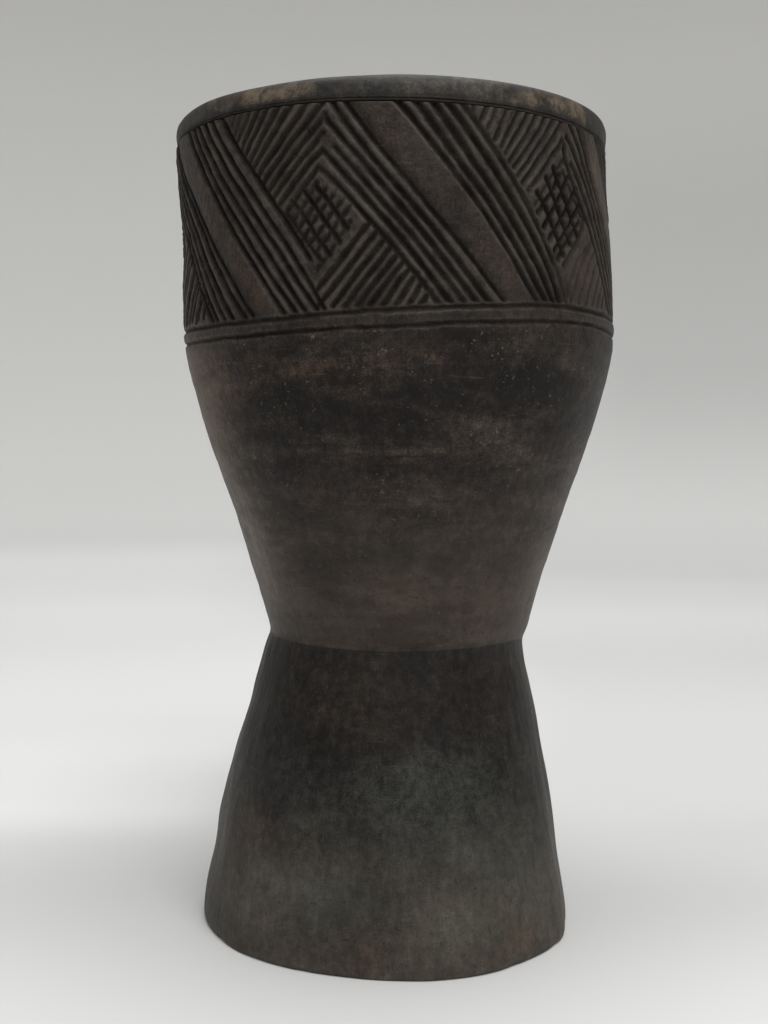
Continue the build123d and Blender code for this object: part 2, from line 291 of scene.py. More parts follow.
# How far the front of the carving lies off the drawn lines, in hundredths of a degree and
# of a millimetre. Columns go round in steps of 8 degrees from -80, rows up in steps of
# 14 mm from 298.
NUDGE_EDGE, NUDGE_TURN_STEP = 80.0, 8.0
NUDGE_LOW, NUDGE_Z_STEP = 298.0, 14.0
NUDGE_TURN = np.array([
    [-5, -52, -63, -55, -52, -51, -48, -40, -29, -17, -6, 4, 17, 29, 41, 52, 67, 87, 119, 105, 2],
    [-3, -38, -47, -43, -42, -43, -41, -32, -17, -4, 5, 14, 26, 39, 51, 62, 75, 93, 123, 106, 0],
    [-2, -32, -39, -36, -36, -35, -32, -23, -8, 5, 15, 25, 35, 47, 58, 68, 78, 94, 121, 101, -2],
    [-2, -32, -39, -35, -34, -32, -28, -21, -7, 7, 20, 29, 39, 51, 62, 69, 76, 89, 111, 92, -2],
    [-3, -33, -40, -36, -34, -33, -32, -26, -13, 3, 16, 26, 37, 51, 62, 67, 72, 82, 100, 81, -2],
    [-3, -32, -39, -34, -33, -33, -33, -29, -16, -2, 10, 22, 36, 50, 58, 62, 65, 72, 87, 70, -2],
    [-2, -31, -37, -33, -31, -30, -30, -27, -18, -5, 9, 23, 36, 45, 51, 54, 56, 60, 71, 58, 0],
    [-2, -32, -38, -33, -29, -27, -26, -23, -17, -5, 11, 26, 36, 40, 42, 44, 46, 49, 57, 47, 0],
]) / 100
NUDGE_Z = np.array([
    [-9, -42, -59, -59, -57, -51, -36, -11, 11, 16, 6, 0, 3, 17, 35, 48, 57, 65, 74, 60, 10],
    [-8, -33, -46, -45, -44, -41, -34, -21, -9, -4, -6, -7, -2, 11, 29, 41, 50, 58, 67, 54, 7],
    [-6, -24, -32, -31, -30, -28, -25, -22, -20, -16, -9, -5, 0, 9, 22, 33, 42, 50, 60, 48, 5],
    [-4, -15, -20, -18, -16, -14, -12, -14, -18, -16, -8, -3, 1, 7, 16, 25, 33, 41, 51, 41, 3],
    [-3, -7, -10, -9, -6, -3, -1, -2, -7, -10, -7, -3, 2, 9, 13, 18, 24, 31, 40, 33, 1],
    [-2, -2, -3, -3, 0, 3, 5, 6, 1, -2, -3, 2, 12, 19, 17, 15, 17, 21, 29, 25, 0],
    [-1, 1, 0, 0, 1, 3, 4, 5, 2, 2, 7, 18, 29, 33, 26, 18, 14, 15, 19, 18, -1],
    [-1, 4, 3, 1, 0, 0, 0, 0, -1, 5, 19, 35, 44, 43, 34, 24, 16, 13, 14, 12, -1],
]) / 100


def wrapped(theta, angle):
    """Angle from the second to the first, -180 to 180."""
    return np.mod(theta - angle + 180, 360) - 180


def spread(theta, z, angle, height, reach_round, reach_up):
    """Squared distance from a spot, where 1 is its reach."""
    return (wrapped(theta, angle) / reach_round) ** 2 + ((z - height) / reach_up) ** 2


def nudge(theta, z):
    """Small move of the carving at the front, in degrees and in mm."""
    turn = wrapped(theta, 0)
    rows, columns = NUDGE_Z.shape
    u = np.clip((turn + NUDGE_EDGE) / NUDGE_TURN_STEP, 0, columns - 1.001)
    v = np.clip((z - NUDGE_LOW) / NUDGE_Z_STEP, 0, rows - 1.001)
    i, j = u.astype(int), v.astype(int)
    fu, fv = u - i, v - j

    def at(grid):
        low = grid[j, i] * (1 - fu) + grid[j, i + 1] * fu
        high = grid[j + 1, i] * (1 - fu) + grid[j + 1, i + 1] * fu
        return np.where(np.abs(turn) <= NUDGE_EDGE, low * (1 - fv) + high * fv, 0.0)

    return at(NUDGE_TURN), at(NUDGE_Z)


def band_lines():
    """Every groove of the carved band: (points, depth, half width, shoulder). A shoulder
    is a soft hollow on the +angle side of a bar's left edge."""
    rng = np.random.default_rng(11)
    # bars D, E and F repeat bar B round the back
    bars = [
        (BAR_A_LEFT, BAR_A_RIGHT), (BAR_B_LEFT, BAR_B_RIGHT), (BAR_C_LEFT, BAR_C_RIGHT),
        (BAR_B_LEFT + 119.2, BAR_B_RIGHT + 118.0),
        (BAR_B_LEFT + 178.0, BAR_B_RIGHT + 178.6),
        (BAR_B_LEFT + 237.2, BAR_B_RIGHT + 237.0),
    ]
    gaps = [(bars[k][1], bars[k + 1][0]) for k in range(5)]
    gaps.append((bars[5][1], BAR_A_LEFT + 360.0))
    one, two = to_share(field_one(), *gaps[0]), to_share(field_two(), *gaps[1])
    cuts = from_share(one, *gaps[0]) + from_share(two, *gaps[1])
    for gap, field, off_height in zip(gaps[2:], (one, one, two, one), (0.5, 0.7, 0.5, 0.6)):
        cuts += from_share(jitter(field, rng, off_height), *gap)
    lines = [(*cut, False) for cut in cuts]
    for left, right in bars:
        lines.append((as_line(left), 2.1, 1.7, True))
        lines.append((as_line(right), 2.0, 1.9, False))
    return [(points + np.stack(nudge(*points.T), 1), *rest) for points, *rest in lines]


def smooth_noise(theta, z, rng, n_theta, n_z, z0, z1):
    """Smooth noise, about -1 to 1, that closes round the drum. It has n_theta cells
    round and n_z cells from z0 up to z1."""
    grid = np.clip(rng.normal(0, 1, (n_z + 3, n_theta)), -1.7, 1.7)
    u = (np.mod(theta, 360.0) / 360.0) * n_theta
    v = np.clip((z - z0) / (z1 - z0), 0, 1) * n_z
    i = np.floor(u).astype(int)
    j = np.clip(np.floor(v).astype(int), 0, n_z)
    fu, fv = u - i, v - j
    fu = fu * fu * (3 - 2 * fu)
    fv = fv * fv * (3 - 2 * fv)
    i, after = i % n_theta, (i + 1) % n_theta
    low = grid[j, i] * (1 - fu) + grid[j, after] * fu
    high = grid[j + 1, i] * (1 - fu) + grid[j + 1, after] * fu
    return low * (1 - fv) + high * fv


def ring_noise(theta, rng, n_theta):
    """Smooth noise that only changes round the drum."""
    return smooth_noise(theta, 0.0, rng, n_theta, 1, 0, 1)


MM_PER_DEG = 1.928              # round the band

# the two lines cut round the drum under the band: angles, heights
LOWER_LINE = (
    [-90, -70, -40, -20, 0, 10, 20, 30, 40, 55, 67, 90, 130, 180, 220, 250, 270],
    [299.2, 298.2, 297.6, 298.4, 299.1, 300.6, 301.6, 302.5, 303.4, 303.9, 302.6, 301.4, 300.4,
     301.2, 300.2, 299.6, 299.2])
UPPER_LINE = (
    [-90, -70, -50, -30, -20, 0, 10, 25, 37, 45, 64, 90, 130, 180, 220, 250, 270],
    [305.2, 304.4, 303.9, 304.1, 305.0, 306.6, 307.8, 309.2, 310.3, 310.5, 309.6, 308.2, 307.0,
     307.8, 306.8, 305.8, 305.2])


def line_height(theta, line):
    turn = np.mod(theta + 90.0, 360.0) - 90.0
    z = np.interp(turn, *line)
    return z + nudge(turn, z)[1]


def nearest_on(points, x, y):
    """Distance of x, y from a line, and how far to its +angle side they lie."""
    best = np.full(x.shape, 1e9)
    side = np.zeros(x.shape)
    for (angle0, z0), (angle1, z1) in zip(points[:-1], points[1:]):
        x0 = angle0 * MM_PER_DEG
        dx, dz = angle1 * MM_PER_DEG - x0, z1 - z0
        k = np.clip(((x - x0) * dx + (y - z0) * dz) / (dx * dx + dz * dz), 0, 1)
        off_x, off_z = x - (x0 + k * dx), y - (z0 + k * dz)
        squared = off_x * off_x + off_z * off_z
        near = squared < best
        best = np.where(near, squared, best)
        side = np.where(near, off_x, side)
    return np.sqrt(best), side


def band_relief(theta, z):
    """How far the surface is cut in, on the grid theta x z. theta runs from 0 to 360."""
    turns, heights = np.meshgrid(theta, z)
    cut = np.zeros_like(turns)
    step = theta[1] - theta[0]
    rng = np.random.default_rng(5)
    depth_wobble = smooth_noise(turns, heights, rng, 150, 22, 300, 400)
    width_wobble = smooth_noise(turns, heights, rng, 110, 16, 300, 400)
    wander_x = smooth_noise(turns, heights, rng, 90, 14, 300, 400) * 0.10
    wander_z = smooth_noise(turns, heights, rng, 90, 14, 300, 400) * 0.10
    for points, depth, width, shoulder in band_lines():
        reach = width * 1.55 + (4.5 if shoulder else 0.4) + 0.6
        (turn_low, z_low), (turn_high, z_high) = points.min(0), points.max(0)
        rows = np.where((z >= z_low - reach) & (z <= z_high + reach))[0]
        first = int(np.floor((turn_low - reach / MM_PER_DEG) / step))
        last = int(np.ceil((turn_high + reach / MM_PER_DEG) / step))
        columns = np.arange(first, last + 1)
        part = np.ix_(rows, np.mod(columns, len(theta)))
        x = (columns * step)[None, :] * MM_PER_DEG + wander_x[part]
        distance, side = nearest_on(points, x, z[rows][:, None] + wander_z[part])
        # a V with a slightly rounded bottom
        k = np.clip(1 - distance / (width * (1 + 0.10 * width_wobble[part]) * 1.16), 0, 1)
        groove = np.minimum(k ** 1.12, 0.9 + 0.1 * k)
        groove = 0.90 * depth * (1 + 0.14 * depth_wobble[part]) * groove
        if shoulder:
            hollow = np.where(side > 0, 0.75 * np.exp(-((distance / 3.2) ** 2)), 0)
            groove = np.maximum(groove, hollow)
        cut[part] = np.maximum(cut[part], groove)
    # the pattern stops above the upper line
    upper = line_height(theta, UPPER_LINE)[None, :]
    cut *= smoothstep(0.6, 2.8, heights - upper)
    lower = line_height(theta, LOWER_LINE)[None, :]
    for centre, width, depth in ((upper, 1.60, 1.25), (lower, 1.35, 1.15)):
        off = np.abs(heights + 1.6 * wander_z - centre)
        k = np.clip(1 - off / (width * (1 + 0.15 * width_wobble)), 0, 1)
        cut = np.maximum(cut, depth * (1 + 0.10 * depth_wobble) * k)
    # cuts deeper than this are held back
    return np.where(cut > 1.9, 1.9 + 0.35 * (cut - 1.9), cut)


# ------------------------------------------------------------------ profiles
# Profiles: height, radius, centre in X
OUTSIDE = np.array([
    (0, 95.2, -5.8), (3, 95.3, -5.85), (8, 95.1, -5.9), (15, 94.3, -5.9), (25, 92.6, -5.65),
    (35, 90.7, -5.3), (45, 89.25, -5), (55, 87.9, -4.85), (65, 85.9, -4.4), (75, 83.8, -4),
    (85, 81.6, -3.7), (95, 79.3, -3.25), (105, 76.8, -2.65), (115, 74.2, -1.95), (125, 71.9, -1.6),
    (135, 69.4, -1.2), (143, 67.75, -0.6), (148.5, 66.6, 0.1), (151.4, 66, 0.7),
    (154.5, 66.95, 1.25), (160, 68.7, 1.6), (170, 71.75, 1.65), (185, 76.6, 1.7), (200, 81.4, 1.9),
    (215, 86.2, 1.95), (230, 91.6, 1.75), (245, 96.8, 1.75), (260, 101.6, 1.95),
    (275, 105.9, 1.95), (283, 107.9, 1.95), (290, 109.3, 1.9), (296, 110.3, 1.85),
    (304, 110.7, 1.75), (312, 111.05, 1.45), (320, 111.1, 1.3), (335, 110.7, 0.95),
    (350, 110.4, 0.35), (365, 110.3, -0.5), (380, 110.3, -1.6), (392, 110.45, -2.05),
    (397.3, 110.45, -2.15), (412, 110.4, -2.15),
])
BOWL_IN = np.array([
    (149, 40, 0.15), (163, 42.3, 0.35), (185, 52, 0.95), (210, 64, 1.35), (240, 78, 1.55),
    (270, 90, 1.65), (295, 95.8, 1.45), (320, 97.8, 0.95), (360, 97.9, -0.65), (400, 97.6, -2.15),
])
FOOT_IN = np.array([
    (0, 80.4, -5.65), (20, 77, -5.45), (50, 69, -4.65), (85, 58.5, -3.25), (115, 48.5, -1.65),
    (138, 41.6, -0.35), (149, 40, 0.15),
])
THROAT = BOWL_IN[0, 0]
# how far the foot stands out from a circle, every 15 degrees, and how much of
# that is left with height
FOOT_OUT = [0.9, 4.6, 6.1, 4.9, 4.8, 1.6, 0, -0.6, -0.4, 0.5, 1.6, 2.4,
            2.6, 2.2, 1.5, 0.8, 0.3, 0.2, 0.3, -0.8, -1.8, -1.3, -1.1, -0.9]
FOOT_SHARE = ([0, 15, 35, 55, 75, 95, 115, 135], [1, 0.86, 0.62, 0.4, 0.22, 0.09, 0.02, 0])
# how far the rim's groove wanders up and down: angles, rise
RIM_WANDER = ([-90, -50, -20, 0, 27, 50, 70, 90, 130, 180, 230],
              [0.6, 0.6, 0.45, -0.1, -0.45, -1.2, -1.5, -1.5, -1.1, -0.4, 0.2])
# the waist line sits lower on the right: angles, rise
WAIST = 151.4
WAIST_LEAN = ([-90, -57, -20, 0, 30, 58, 80, 100, 140, 180, 225],
              [-1.0, -1.6, -2.6, -3.0, -2.7, -2.4, -4.2, -3.9, -1.0, 0.2, 0.4])
WAIST_ROW = int(np.argmin(np.abs(OUTSIDE[:, 0] - WAIST)))
# the rounded lip of the wood that the hide rolls over, and the hide on it
RIM_X = -2.15
LIP_R, LIP_Z = 104.4, 404.0     # centre of the lip's section
WOOD_LIP = 5.05
HIDE_OUT, HIDE_THICK = 6.0, 0.9
HEAD_TOP = LIP_Z + HIDE_OUT


def spline(xs, ys, x):
    """Smooth curve through points, with no overshoot between them."""
    gap = np.diff(xs)
    slope = np.diff(ys) / gap
    tangent = np.zeros(len(xs))
    tangent[0], tangent[-1] = slope[0], slope[-1]
    for i in range(1, len(xs) - 1):
        if slope[i - 1] * slope[i] > 0:
            w1, w2 = 2 * gap[i] + gap[i - 1], gap[i] + 2 * gap[i - 1]
            tangent[i] = (w1 + w2) / (w1 / slope[i - 1] + w2 / slope[i])
    x = np.clip(x, xs[0], xs[-1])
    i = np.clip(np.searchsorted(xs, x) - 1, 0, len(xs) - 2)
    t = (x - xs[i]) / gap[i]
    t2, t3 = t * t, t * t * t
    return ((2 * t3 - 3 * t2 + 1) * ys[i] + (t3 - 2 * t2 + t) * gap[i] * tangent[i]
            + (-2 * t3 + 3 * t2) * ys[i + 1] + (t3 - t2) * gap[i] * tangent[i + 1])


def ring_wave(theta, angles_at, values):
    """Smooth closed curve round the drum through values at given angles."""
    at = np.asarray(angles_at, float)
    xs = np.concatenate([at - 360, at, at + 360, [at[0] + 720]])
    ys = np.append(np.tile(np.asarray(values, float), 3), values[0])
    return spline(xs, ys, np.mod(theta - at[0], 360) + at[0])


def outline(z, column):
    """Radius (column 1) or centre (column 2) of the outside: two smooth curves that meet
    at the waist in an edge, worn round."""
    low, high = OUTSIDE[:WAIST_ROW + 1], OUTSIDE[WAIST_ROW:]

    def sharp(q):
        return np.where(q < WAIST, spline(low[:, 0], low[:, column], q),
                        spline(high[:, 0], high[:, column], q))

    near = np.exp(-((z - WAIST) / 3.2) ** 4)
    soft = sum(sharp(z + off) for off in (-2.1, -1.0, 0.0, 1.0, 2.1)) / 5.0
    return sharp(z) * (1 - near) + soft * near


def waist_lean(theta, z):
    """How far a point near the waist sits above or below its nominal height."""
    return ring_wave(theta, *WAIST_LEAN) * np.exp(-((z - WAIST) / 16.0) ** 2)


def foot_bulge(theta, z):
    return ring_wave(theta, range(0, 360, 15), FOOT_OUT) * np.interp(z, *FOOT_SHARE)


def rim_wander(theta):
    return ring_wave(theta, *RIM_WANDER)


def smoothstep(a, b, x):
    t = np.clip((x - a) / (b - a), 0, 1)
    return t * t * (3 - 2 * t)


def scallops(theta, z, rng):
    """Shallow hollows left by an adze: 0 on their edges, 1 in their middles."""
    across, tall, height = 17, 34, 405
    length = 2 * math.pi * 75       # round the hollow at its middling radius
    columns, rows = int(length / across), int(height / tall)
    i, j = np.arange(columns)[None, :], np.arange(rows)[:, None]
    shape = (rows, columns)
    angles_at = (i + 0.5 * (j % 2) + rng.uniform(-0.32, 0.32, shape)) / columns * 360
    heights_at = (j + 0.5 + rng.uniform(-0.34, 0.34, shape)) / rows * height
    first = np.full(theta.shape, 1e9)
    second = np.full(theta.shape, 1e9)
    for angle, middle in zip(angles_at.ravel(), heights_at.ravel()):
        squared = spread(theta, z, angle, middle, across / (length / 360), tall)
        second = np.minimum(second, np.maximum(first, squared))
        first = np.minimum(first, squared)
    return np.clip((np.sqrt(second) - np.sqrt(first)) * 1.6, 0, 1)


# -------------------------------------------------------------- mesh builder
def angles(n):
    return np.arange(n) * 360.0 / n


def ring_points(theta, radius, z, centre=RIM_X):
    turn = np.radians(theta)
    return np.stack([centre + radius * np.sin(turn), -radius * np.cos(turn),
                     np.broadcast_to(z, turn.shape)], 1)


class Shape:
    """Rings of points joined into one closed skin. Two neighbouring rings have the same
    number of points, or one has twice as many. v is a ring's place across the UV map."""

    def __init__(self, *attributes):
        self.points, self.faces, self.uvs, self.rings = [], [], [], []
        self.count = 0
        self.last = None
        self.attributes = {name: [] for name in attributes}

    def ring(self, points, v, **values):
        self.rings.append((self.count, len(points), v))
        self.points.append(points)
        for name, parts in self.attributes.items():
            parts.append(np.broadcast_to(values.get(name, 0.0), (len(points),)))
        self.count += len(points)
        return len(self.rings) - 1

    def add(self, points, v, flip=False, **values):
        """A ring joined to the one added before it. flip turns the faces over."""
        new = self.ring(points, v, **values)
        if self.last is not None:
            self.bridge(*((new, self.last) if flip else (self.last, new)))
        self.last = new

    def add_faces(self, *corners):
        """Faces whose corners are each (vertex indices, u, v)."""
        self.faces.append(np.stack([index for index, _, _ in corners], 1))
        self.uvs.append(np.stack([np.stack(np.broadcast_arrays(u, v), 1)
                                  for _, u, v in corners], 1))

    def bridge(self, a, b, v_b=None):
        start_a, n_a, v_a = self.rings[a]
        start_b, n_b, ring_v = self.rings[b]
        if v_b is None:
            v_b = ring_v
        n = min(n_a, n_b)
        i = np.arange(n)
        j = (i + 1) % n
        u0, half, u1 = i / n, (i + 0.5) / n, (i + 1) / n
        if n_a == n_b:
            self.add_faces((start_a + i, u0, v_a), (start_a + j, u1, v_a),
                           (start_b + j, u1, v_b), (start_b + i, u0, v_b))
        elif n_a > n_b:
            a0, a1, a2 = start_a + 2 * i, start_a + 2 * i + 1, start_a + (2 * i + 2) % n_a
            self.add_faces((a0, u0, v_a), (a1, half, v_a), (start_b + i, u0, v_b))
            self.add_faces((a1, half, v_a), (a2, u1, v_a),
                           (start_b + j, u1, v_b), (start_b + i, u0, v_b))
        else:
            b0, b1, b2 = start_b + 2 * i, start_b + 2 * i + 1, start_b + (2 * i + 2) % n_b
            self.add_faces((start_a + i, u0, v_a), (b1, half, v_b), (b0, u0, v_b))
            self.add_faces((start_a + i, u0, v_a), (start_a + j, u1, v_a),
                           (b2, u1, v_b), (b1, half, v_b))

    def cap(self, centre, v, up):
        """Closes the last ring onto one point."""
        start, n, v_ring = self.rings[self.last]
        i = np.arange(n)
        edge = [(start + i, i / n, v_ring), (start + (i + 1) % n, (i + 1) / n, v_ring)]
        if not up:
            edge.reverse()
        self.add_faces(*edge, (np.full(n, self.count), (i + 0.5) / n, v))
        self.points.append(np.array([centre], float))
        for parts in self.attributes.values():
            parts.append(np.full(1, parts[-1].mean()))
        self.count += 1

    def build(self, name, layout=None):
        """The object. layout(uvs, points) places the UV map."""
        points = np.concatenate(self.points)
        mesh = bpy.data.meshes.new(name)
        mesh.vertices.add(len(points))
        mesh.vertices.foreach_set("co", (points * MM).astype(np.float32).ravel())
        totals = np.concatenate([np.full(len(f), f.shape[1]) for f in self.faces])
        index = np.concatenate([f.ravel() for f in self.faces])
        starts = np.concatenate([[0], np.cumsum(totals)[:-1]])
        mesh.loops.add(len(index))
        mesh.loops.foreach_set("vertex_index", index.astype(np.int32))
        mesh.polygons.add(len(totals))
        mesh.polygons.foreach_set("loop_start", starts.astype(np.int32))
        mesh.update(calc_edges=True)
        layer = mesh.uv_layers.new(name="OFBake")
        uvs = np.concatenate([uv.reshape(-1, 2) for uv in self.uvs])
        if layout:
            uvs = layout(uvs, points[index])
        layer.data.foreach_set("uv", uvs.astype(np.float32).ravel())
        for attribute, parts in self.attributes.items():
            data = mesh.attributes.new(attribute, "FLOAT", "POINT").data
            data.foreach_set("value", np.concatenate(parts).astype(np.float32))
        mesh.polygons.foreach_set("use_smooth", np.ones(len(totals), bool))
        mesh.validate()
        made = bpy.data.objects.new(name, mesh)
        scene.collection.objects.link(made)
        return made


def box_mean(padded, reach):
    """Mean of each point and its neighbours along the first axis."""
    size = 2 * reach + 1
    sums = np.cumsum(np.concatenate([np.zeros((1, padded.shape[1])), padded]), 0)
    return (sums[size:] - sums[:-size]) / size


def blur(grid, reach):
    """Box blur that closes round the drum."""
    for _ in range(2):
        grid = box_mean(np.pad(grid, ((0, 0), (reach, reach)), "wrap").T, reach).T
        grid = box_mean(np.pad(grid, ((reach, reach), (0, 0)), "edge"), reach)
    return grid


# ------------------------------------------------------------------ the shell
# Stains, and painted sheen along the bowl's left and right edges: angle, height, reach round (degrees),
# reach up (mm), warmth, lightness, green
# the lightness of the spots about -74 to -62 and 66 to 68 degrees round is painted sheen, where the bowl
# turns away at its sides; the rest is stain colour
STAINS_AND_EDGE_SHEEN = [
    (-72, 262, 17, 34, 1.1, 0.92, 0.28), (-66, 286, 20, 12, 0.8, 0.55, 0.15),
    (-62, 192, 11, 26, -0.05, 0.68, 0.12), (-74, 230, 9, 40, 0.2, 0.22, 0.1),
    (-22, 281, 26, 9, 0.75, 0.2, -0.1), (-52, 266, 12, 9, 0.65, 0.1, -0.3),
    (8, 288, 10, 6, 0.6, 0.12, -0.2), (45, 288, 14, 8, 0.3, 0.15, -0.2),
    (-3, 262, 14, 16, 0.25, -0.35, 0), (24, 280, 20, 12, -0.1, -0.26, 0.1),
    (40, 262, 22, 14, 0, -0.16, 0), (-30, 262, 20, 16, 0.15, -0.18, 0),
    (-58, 240, 14, 10, 0.15, -0.15, 0), (50, 234, 22, 10, -0.1, -0.02, 0),
    (10, 244, 40, 7, 0.05, 0.2, 0), (-20, 214, 30, 10, 0.1, 0.05, 0),
    (0, 196, 26, 12, -0.35, -0.12, 0), (-10, 172, 60, 16, 0.15, 0.22, 0),
    (40, 176, 30, 14, 0.2, 0.14, 0), (-62, 210, 18, 28, 0.1, 0.25, 0.15),
    (66, 226, 14, 40, 0.1, 0.42, 0), (68, 180, 12, 24, 0, 0.45, 0.05),
    (-36, 118, 26, 22, 0.35, -0.28, -0.5), (-8, 122, 26, 20, 0.5, -0.18, -0.4),
    (20, 128, 20, 14, 0.1, -0.2, -0.4), (44, 122, 16, 20, 0.3, -0.2, -0.3),
    (-42, 86, 26, 32, -0.55, -0.18, 0.1), (-8, 96, 30, 22, -0.2, -0.12, 0.15),
    (22, 92, 28, 20, -0.35, -0.1, 0.5), (10, 70, 28, 26, -0.4, -0.14, 0.3),
    (42, 66, 22, 25, -0.3, -0.2, 0.35), (-52, 60, 10, 12, 0.9, 0.1, -0.5),
    (-30, 40, 22, 12, 0, 0.15, 0.5), (-48, 22, 18, 12, 0.1, 0.25, 0.35),
    (-14, 30, 16, 14, -0.55, -0.05, 0.2), (22, 22, 16, 14, 0.1, 0.17, 0.6),
    (34, 50, 14, 10, 0, 0, 0.4), (52, 34, 16, 20, -0.2, 0.05, 0.25),
    (42, 12, 8, 7, 0.9, 0.15, -0.1), (-6, 14, 8, 10, 0.7, 0.05, -0.2),
    (0, 4, 60, 5, 0.2, 0.2, 0.1), (2, 108, 6, 5, 0.6, -0.1, -0.2),
    (140, 270, 40, 24, 0.5, 0.12, 0.1), (205, 250, 30, 40, 0.2, -0.22, 0),
    (255, 280, 18, 14, 0.6, 0.2, 0.1), (120, 200, 40, 26, 0, 0.1, 0),
    (190, 180, 50, 18, 0.15, 0.2, 0), (240, 210, 26, 30, 0, -0.15, 0),
    (110, 110, 26, 26, -0.4, -0.3, 0.1), (165, 120, 30, 20, 0.4, -0.2, -0.4),
    (215, 90, 34, 30, -0.4, -0.2, 0.3), (130, 50, 30, 20, 0, 0.15, 0.5),
    (185, 30, 26, 18, 0.3, 0.2, 0.3), (250, 40, 26, 22, -0.4, 0, 0.3),
    (160, 60, 10, 10, 0.8, 0.1, -0.4), (285, 120, 20, 24, 0.1, -0.25, -0.3),
]
# the same for the carved band, where it mostly warms the plain bars
BAND_STAINS = [
    (-55, 366, 9, 24, 0.55, 0.3, 0), (-44, 340, 8, 22, 0.3, 0.42, 0),
    (-48, 384, 9, 10, 0.35, 0.25, 0), (-36, 330, 5, 12, 1, 0.1, -0.3),
    (-33, 318, 5, 10, 1.1, 0.3, 0.15), (-50, 362, 10, 14, 0.35, -0.1, 0),
    (62, 376, 6, 24, 0.9, 0.75, 0.1), (70, 350, 5, 16, 0.7, 0.5, 0),
    (-20, 316, 3, 5, 0.8, 0.25, 0), (20, 330, 7, 18, 0.42, 0.05, -0.3),
    (26, 318, 8, 8, 0.34, 0.1, -0.2), (-32, 392, 8, 6, 0.3, -0.1, -0.2),
    (13, 384, 3, 7, 0.8, 0, -0.4), (23, 391, 4, 5, 0.6, 0.1, -0.3),
    (4, 372, 8, 10, 0.25, 0, 0), (52, 330, 10, 18, 0.3, 0.45, 0.1),
    (36, 365, 4, 6, 0.5, 0.1, -0.3), (-66, 330, 10, 18, 0, 0.3, 0.1),
    (120, 360, 8, 20, 0.6, 0.25, 0), (150, 330, 8, 14, 0.4, 0.1, -0.2),
    (200, 345, 12, 24, 0.4, 0.15, 0), (240, 320, 10, 10, 0.7, 0.3, 0),
    (262, 350, 8, 22, 0.4, 0.4, 0.1),
]
# flatter places on the foot: angle, height, reach round, reach up, depth
FLATS = [
    (-78, 52, 9, 26, 0.9), (-84, 100, 8, 22, 0.5), (76, 44, 7, 34, 0.8), (118, 60, 12, 30, 0.7),
    (170, 90, 14, 30, 0.7), (222, 46, 13, 30, 0.9), (260, 110, 9, 24, 0.5),
]
# small dents, in the same columns
DENTS = [
    (-57, 55.5, 2.6, 1.8, 0.35), (-4, 133, 4, 1.6, 0.25), (48, 222, 2, 3, 0.25),
    (-58, 178, 3, 7, 0.4), (-66, 200, 3, 9, 0.4), (64, 168, 3, 6, 0.4), (-52, 164, 5, 3, 0.3),
    (170, 80, 3, 5, 0.4), (-71, 84, 4, 5, 0.5),
]
# scratches: the same columns, then the rise in mm per degree
SCRATCHES = [
    (2.5, 241.9, 12, 0.62, 0.36, 0.03), (-4, 237.6, 7.5, 0.62, 0.36, 0),
    (8, 234.9, 9, 0.6, 0.16, 0.04), (16, 246, 8, 0.7, 0.18, 0.1), (22.5, 240.4, 5.5, 0.8, 0.34, 0.75),
    (30, 245.5, 5, 0.7, 0.2, 0.4), (-18.5, 204.6, 3.6, 0.7, 0.22, 0.2), (10, 204.9, 3.6, 0.8, 0.28, 0),
    (-45, 223, 9, 0.8, 0.2, -0.1), (40, 226, 9, 0.7, 0.2, 0.25), (-20, 222.5, 12, 0.8, 0.16, -0.08),
    (62, 206, 7, 0.8, 0.25, 0.3), (20, 211.5, 9, 0.7, 0.16, 0.1), (12, 96, 3, 1.6, 0.18, 0.1),
    (140, 230, 9, 0.9, 0.3, 0.2), (200, 262, 6, 0.9, 0.3, -0.1), (230, 190, 9, 0.9, 0.3, 0.2),
    (185, 240, 10, 0.8, 0.3, 0.1), (250, 236, 8, 0.8, 0.25, 0.2), (118, 262, 7, 0.8, 0.25, -0.1),
]
# chips in the foot's edge: angle, reach round, depth
CHIPS = [(-61, 3.2, 1.3), (-24, 2.2, 0.7), (38, 2.6, 0.9), (58, 3.4, 1.2), (131, 3, 1.3),
         (188, 2.4, 0.9), (247, 3.6, 1.2)]

N_BAND, N_BODY, N_IN = 1440, 720, 360   # points round the band, the body and the hollow
FOOT_START = 4.2                        # first row above the rounded bottom edge
FOOT_ROWS = np.concatenate([
    np.arange(FOOT_START, 30, 1.3), np.arange(30, 146, 1.9), np.arange(146, WAIST - 0.2, 0.9),
    [WAIST - 0.25]])
BOWL_ROWS = np.concatenate([
    [WAIST + 0.25], np.arange(WAIST + 1.1, 158, 0.9), np.arange(158, 202, 1.6),
    np.arange(202, 208, 0.7), np.arange(208, 235, 1.5), np.arange(235, 250, 0.6),
    np.arange(250, 292, 1.6), [293.2, 294.2]])
BAND_ROWS = np.arange(295.0, 397.31, 0.45)
HOLLOW_ROWS = np.concatenate([np.arange(402, 150, -3.1), np.arange(150, 6, -3.2), [4.8, 3.6]])
# from the band over the groove: radius, height, share of the wander, v, cut (darkening: painted shade in
# the groove, with soot)
RIM_STEPS = [
    (109.6, 397.3, 1, 397.8, 0.5), (107.45, 397.3, 1, 399, 1), (107.35, 398.6, 1, 400.5, 1),
    (107.4, 400.1, 1, 402, 1), (109.2, 400.1, 1, 403.5, 1), (109.45, 400.6, 0.9, 404, 1),
]
# resting face, from the mouth of the foot outwards: distance out, height, v, inner, light
REST_STEPS = [(0.25, 1.9, 824, 0.8, 0), (0.9, 0.8, 825, 0.6, 0), (2.0, 0, 827, 0.4, 0.3),
              (6.6, 0, 832, 0.3, 0.35)]


def stain(theta, z, table):
    """Warmth, lightness and green of a table of spots: stains, and along the bowl's edges painted sheen."""
    total = np.zeros((3, *np.broadcast(theta, z).shape))
    for *place, warm, light, green in table:
        total += np.multiply.outer([warm, light, green], np.exp(-spread(theta, z, *place)))
    return total


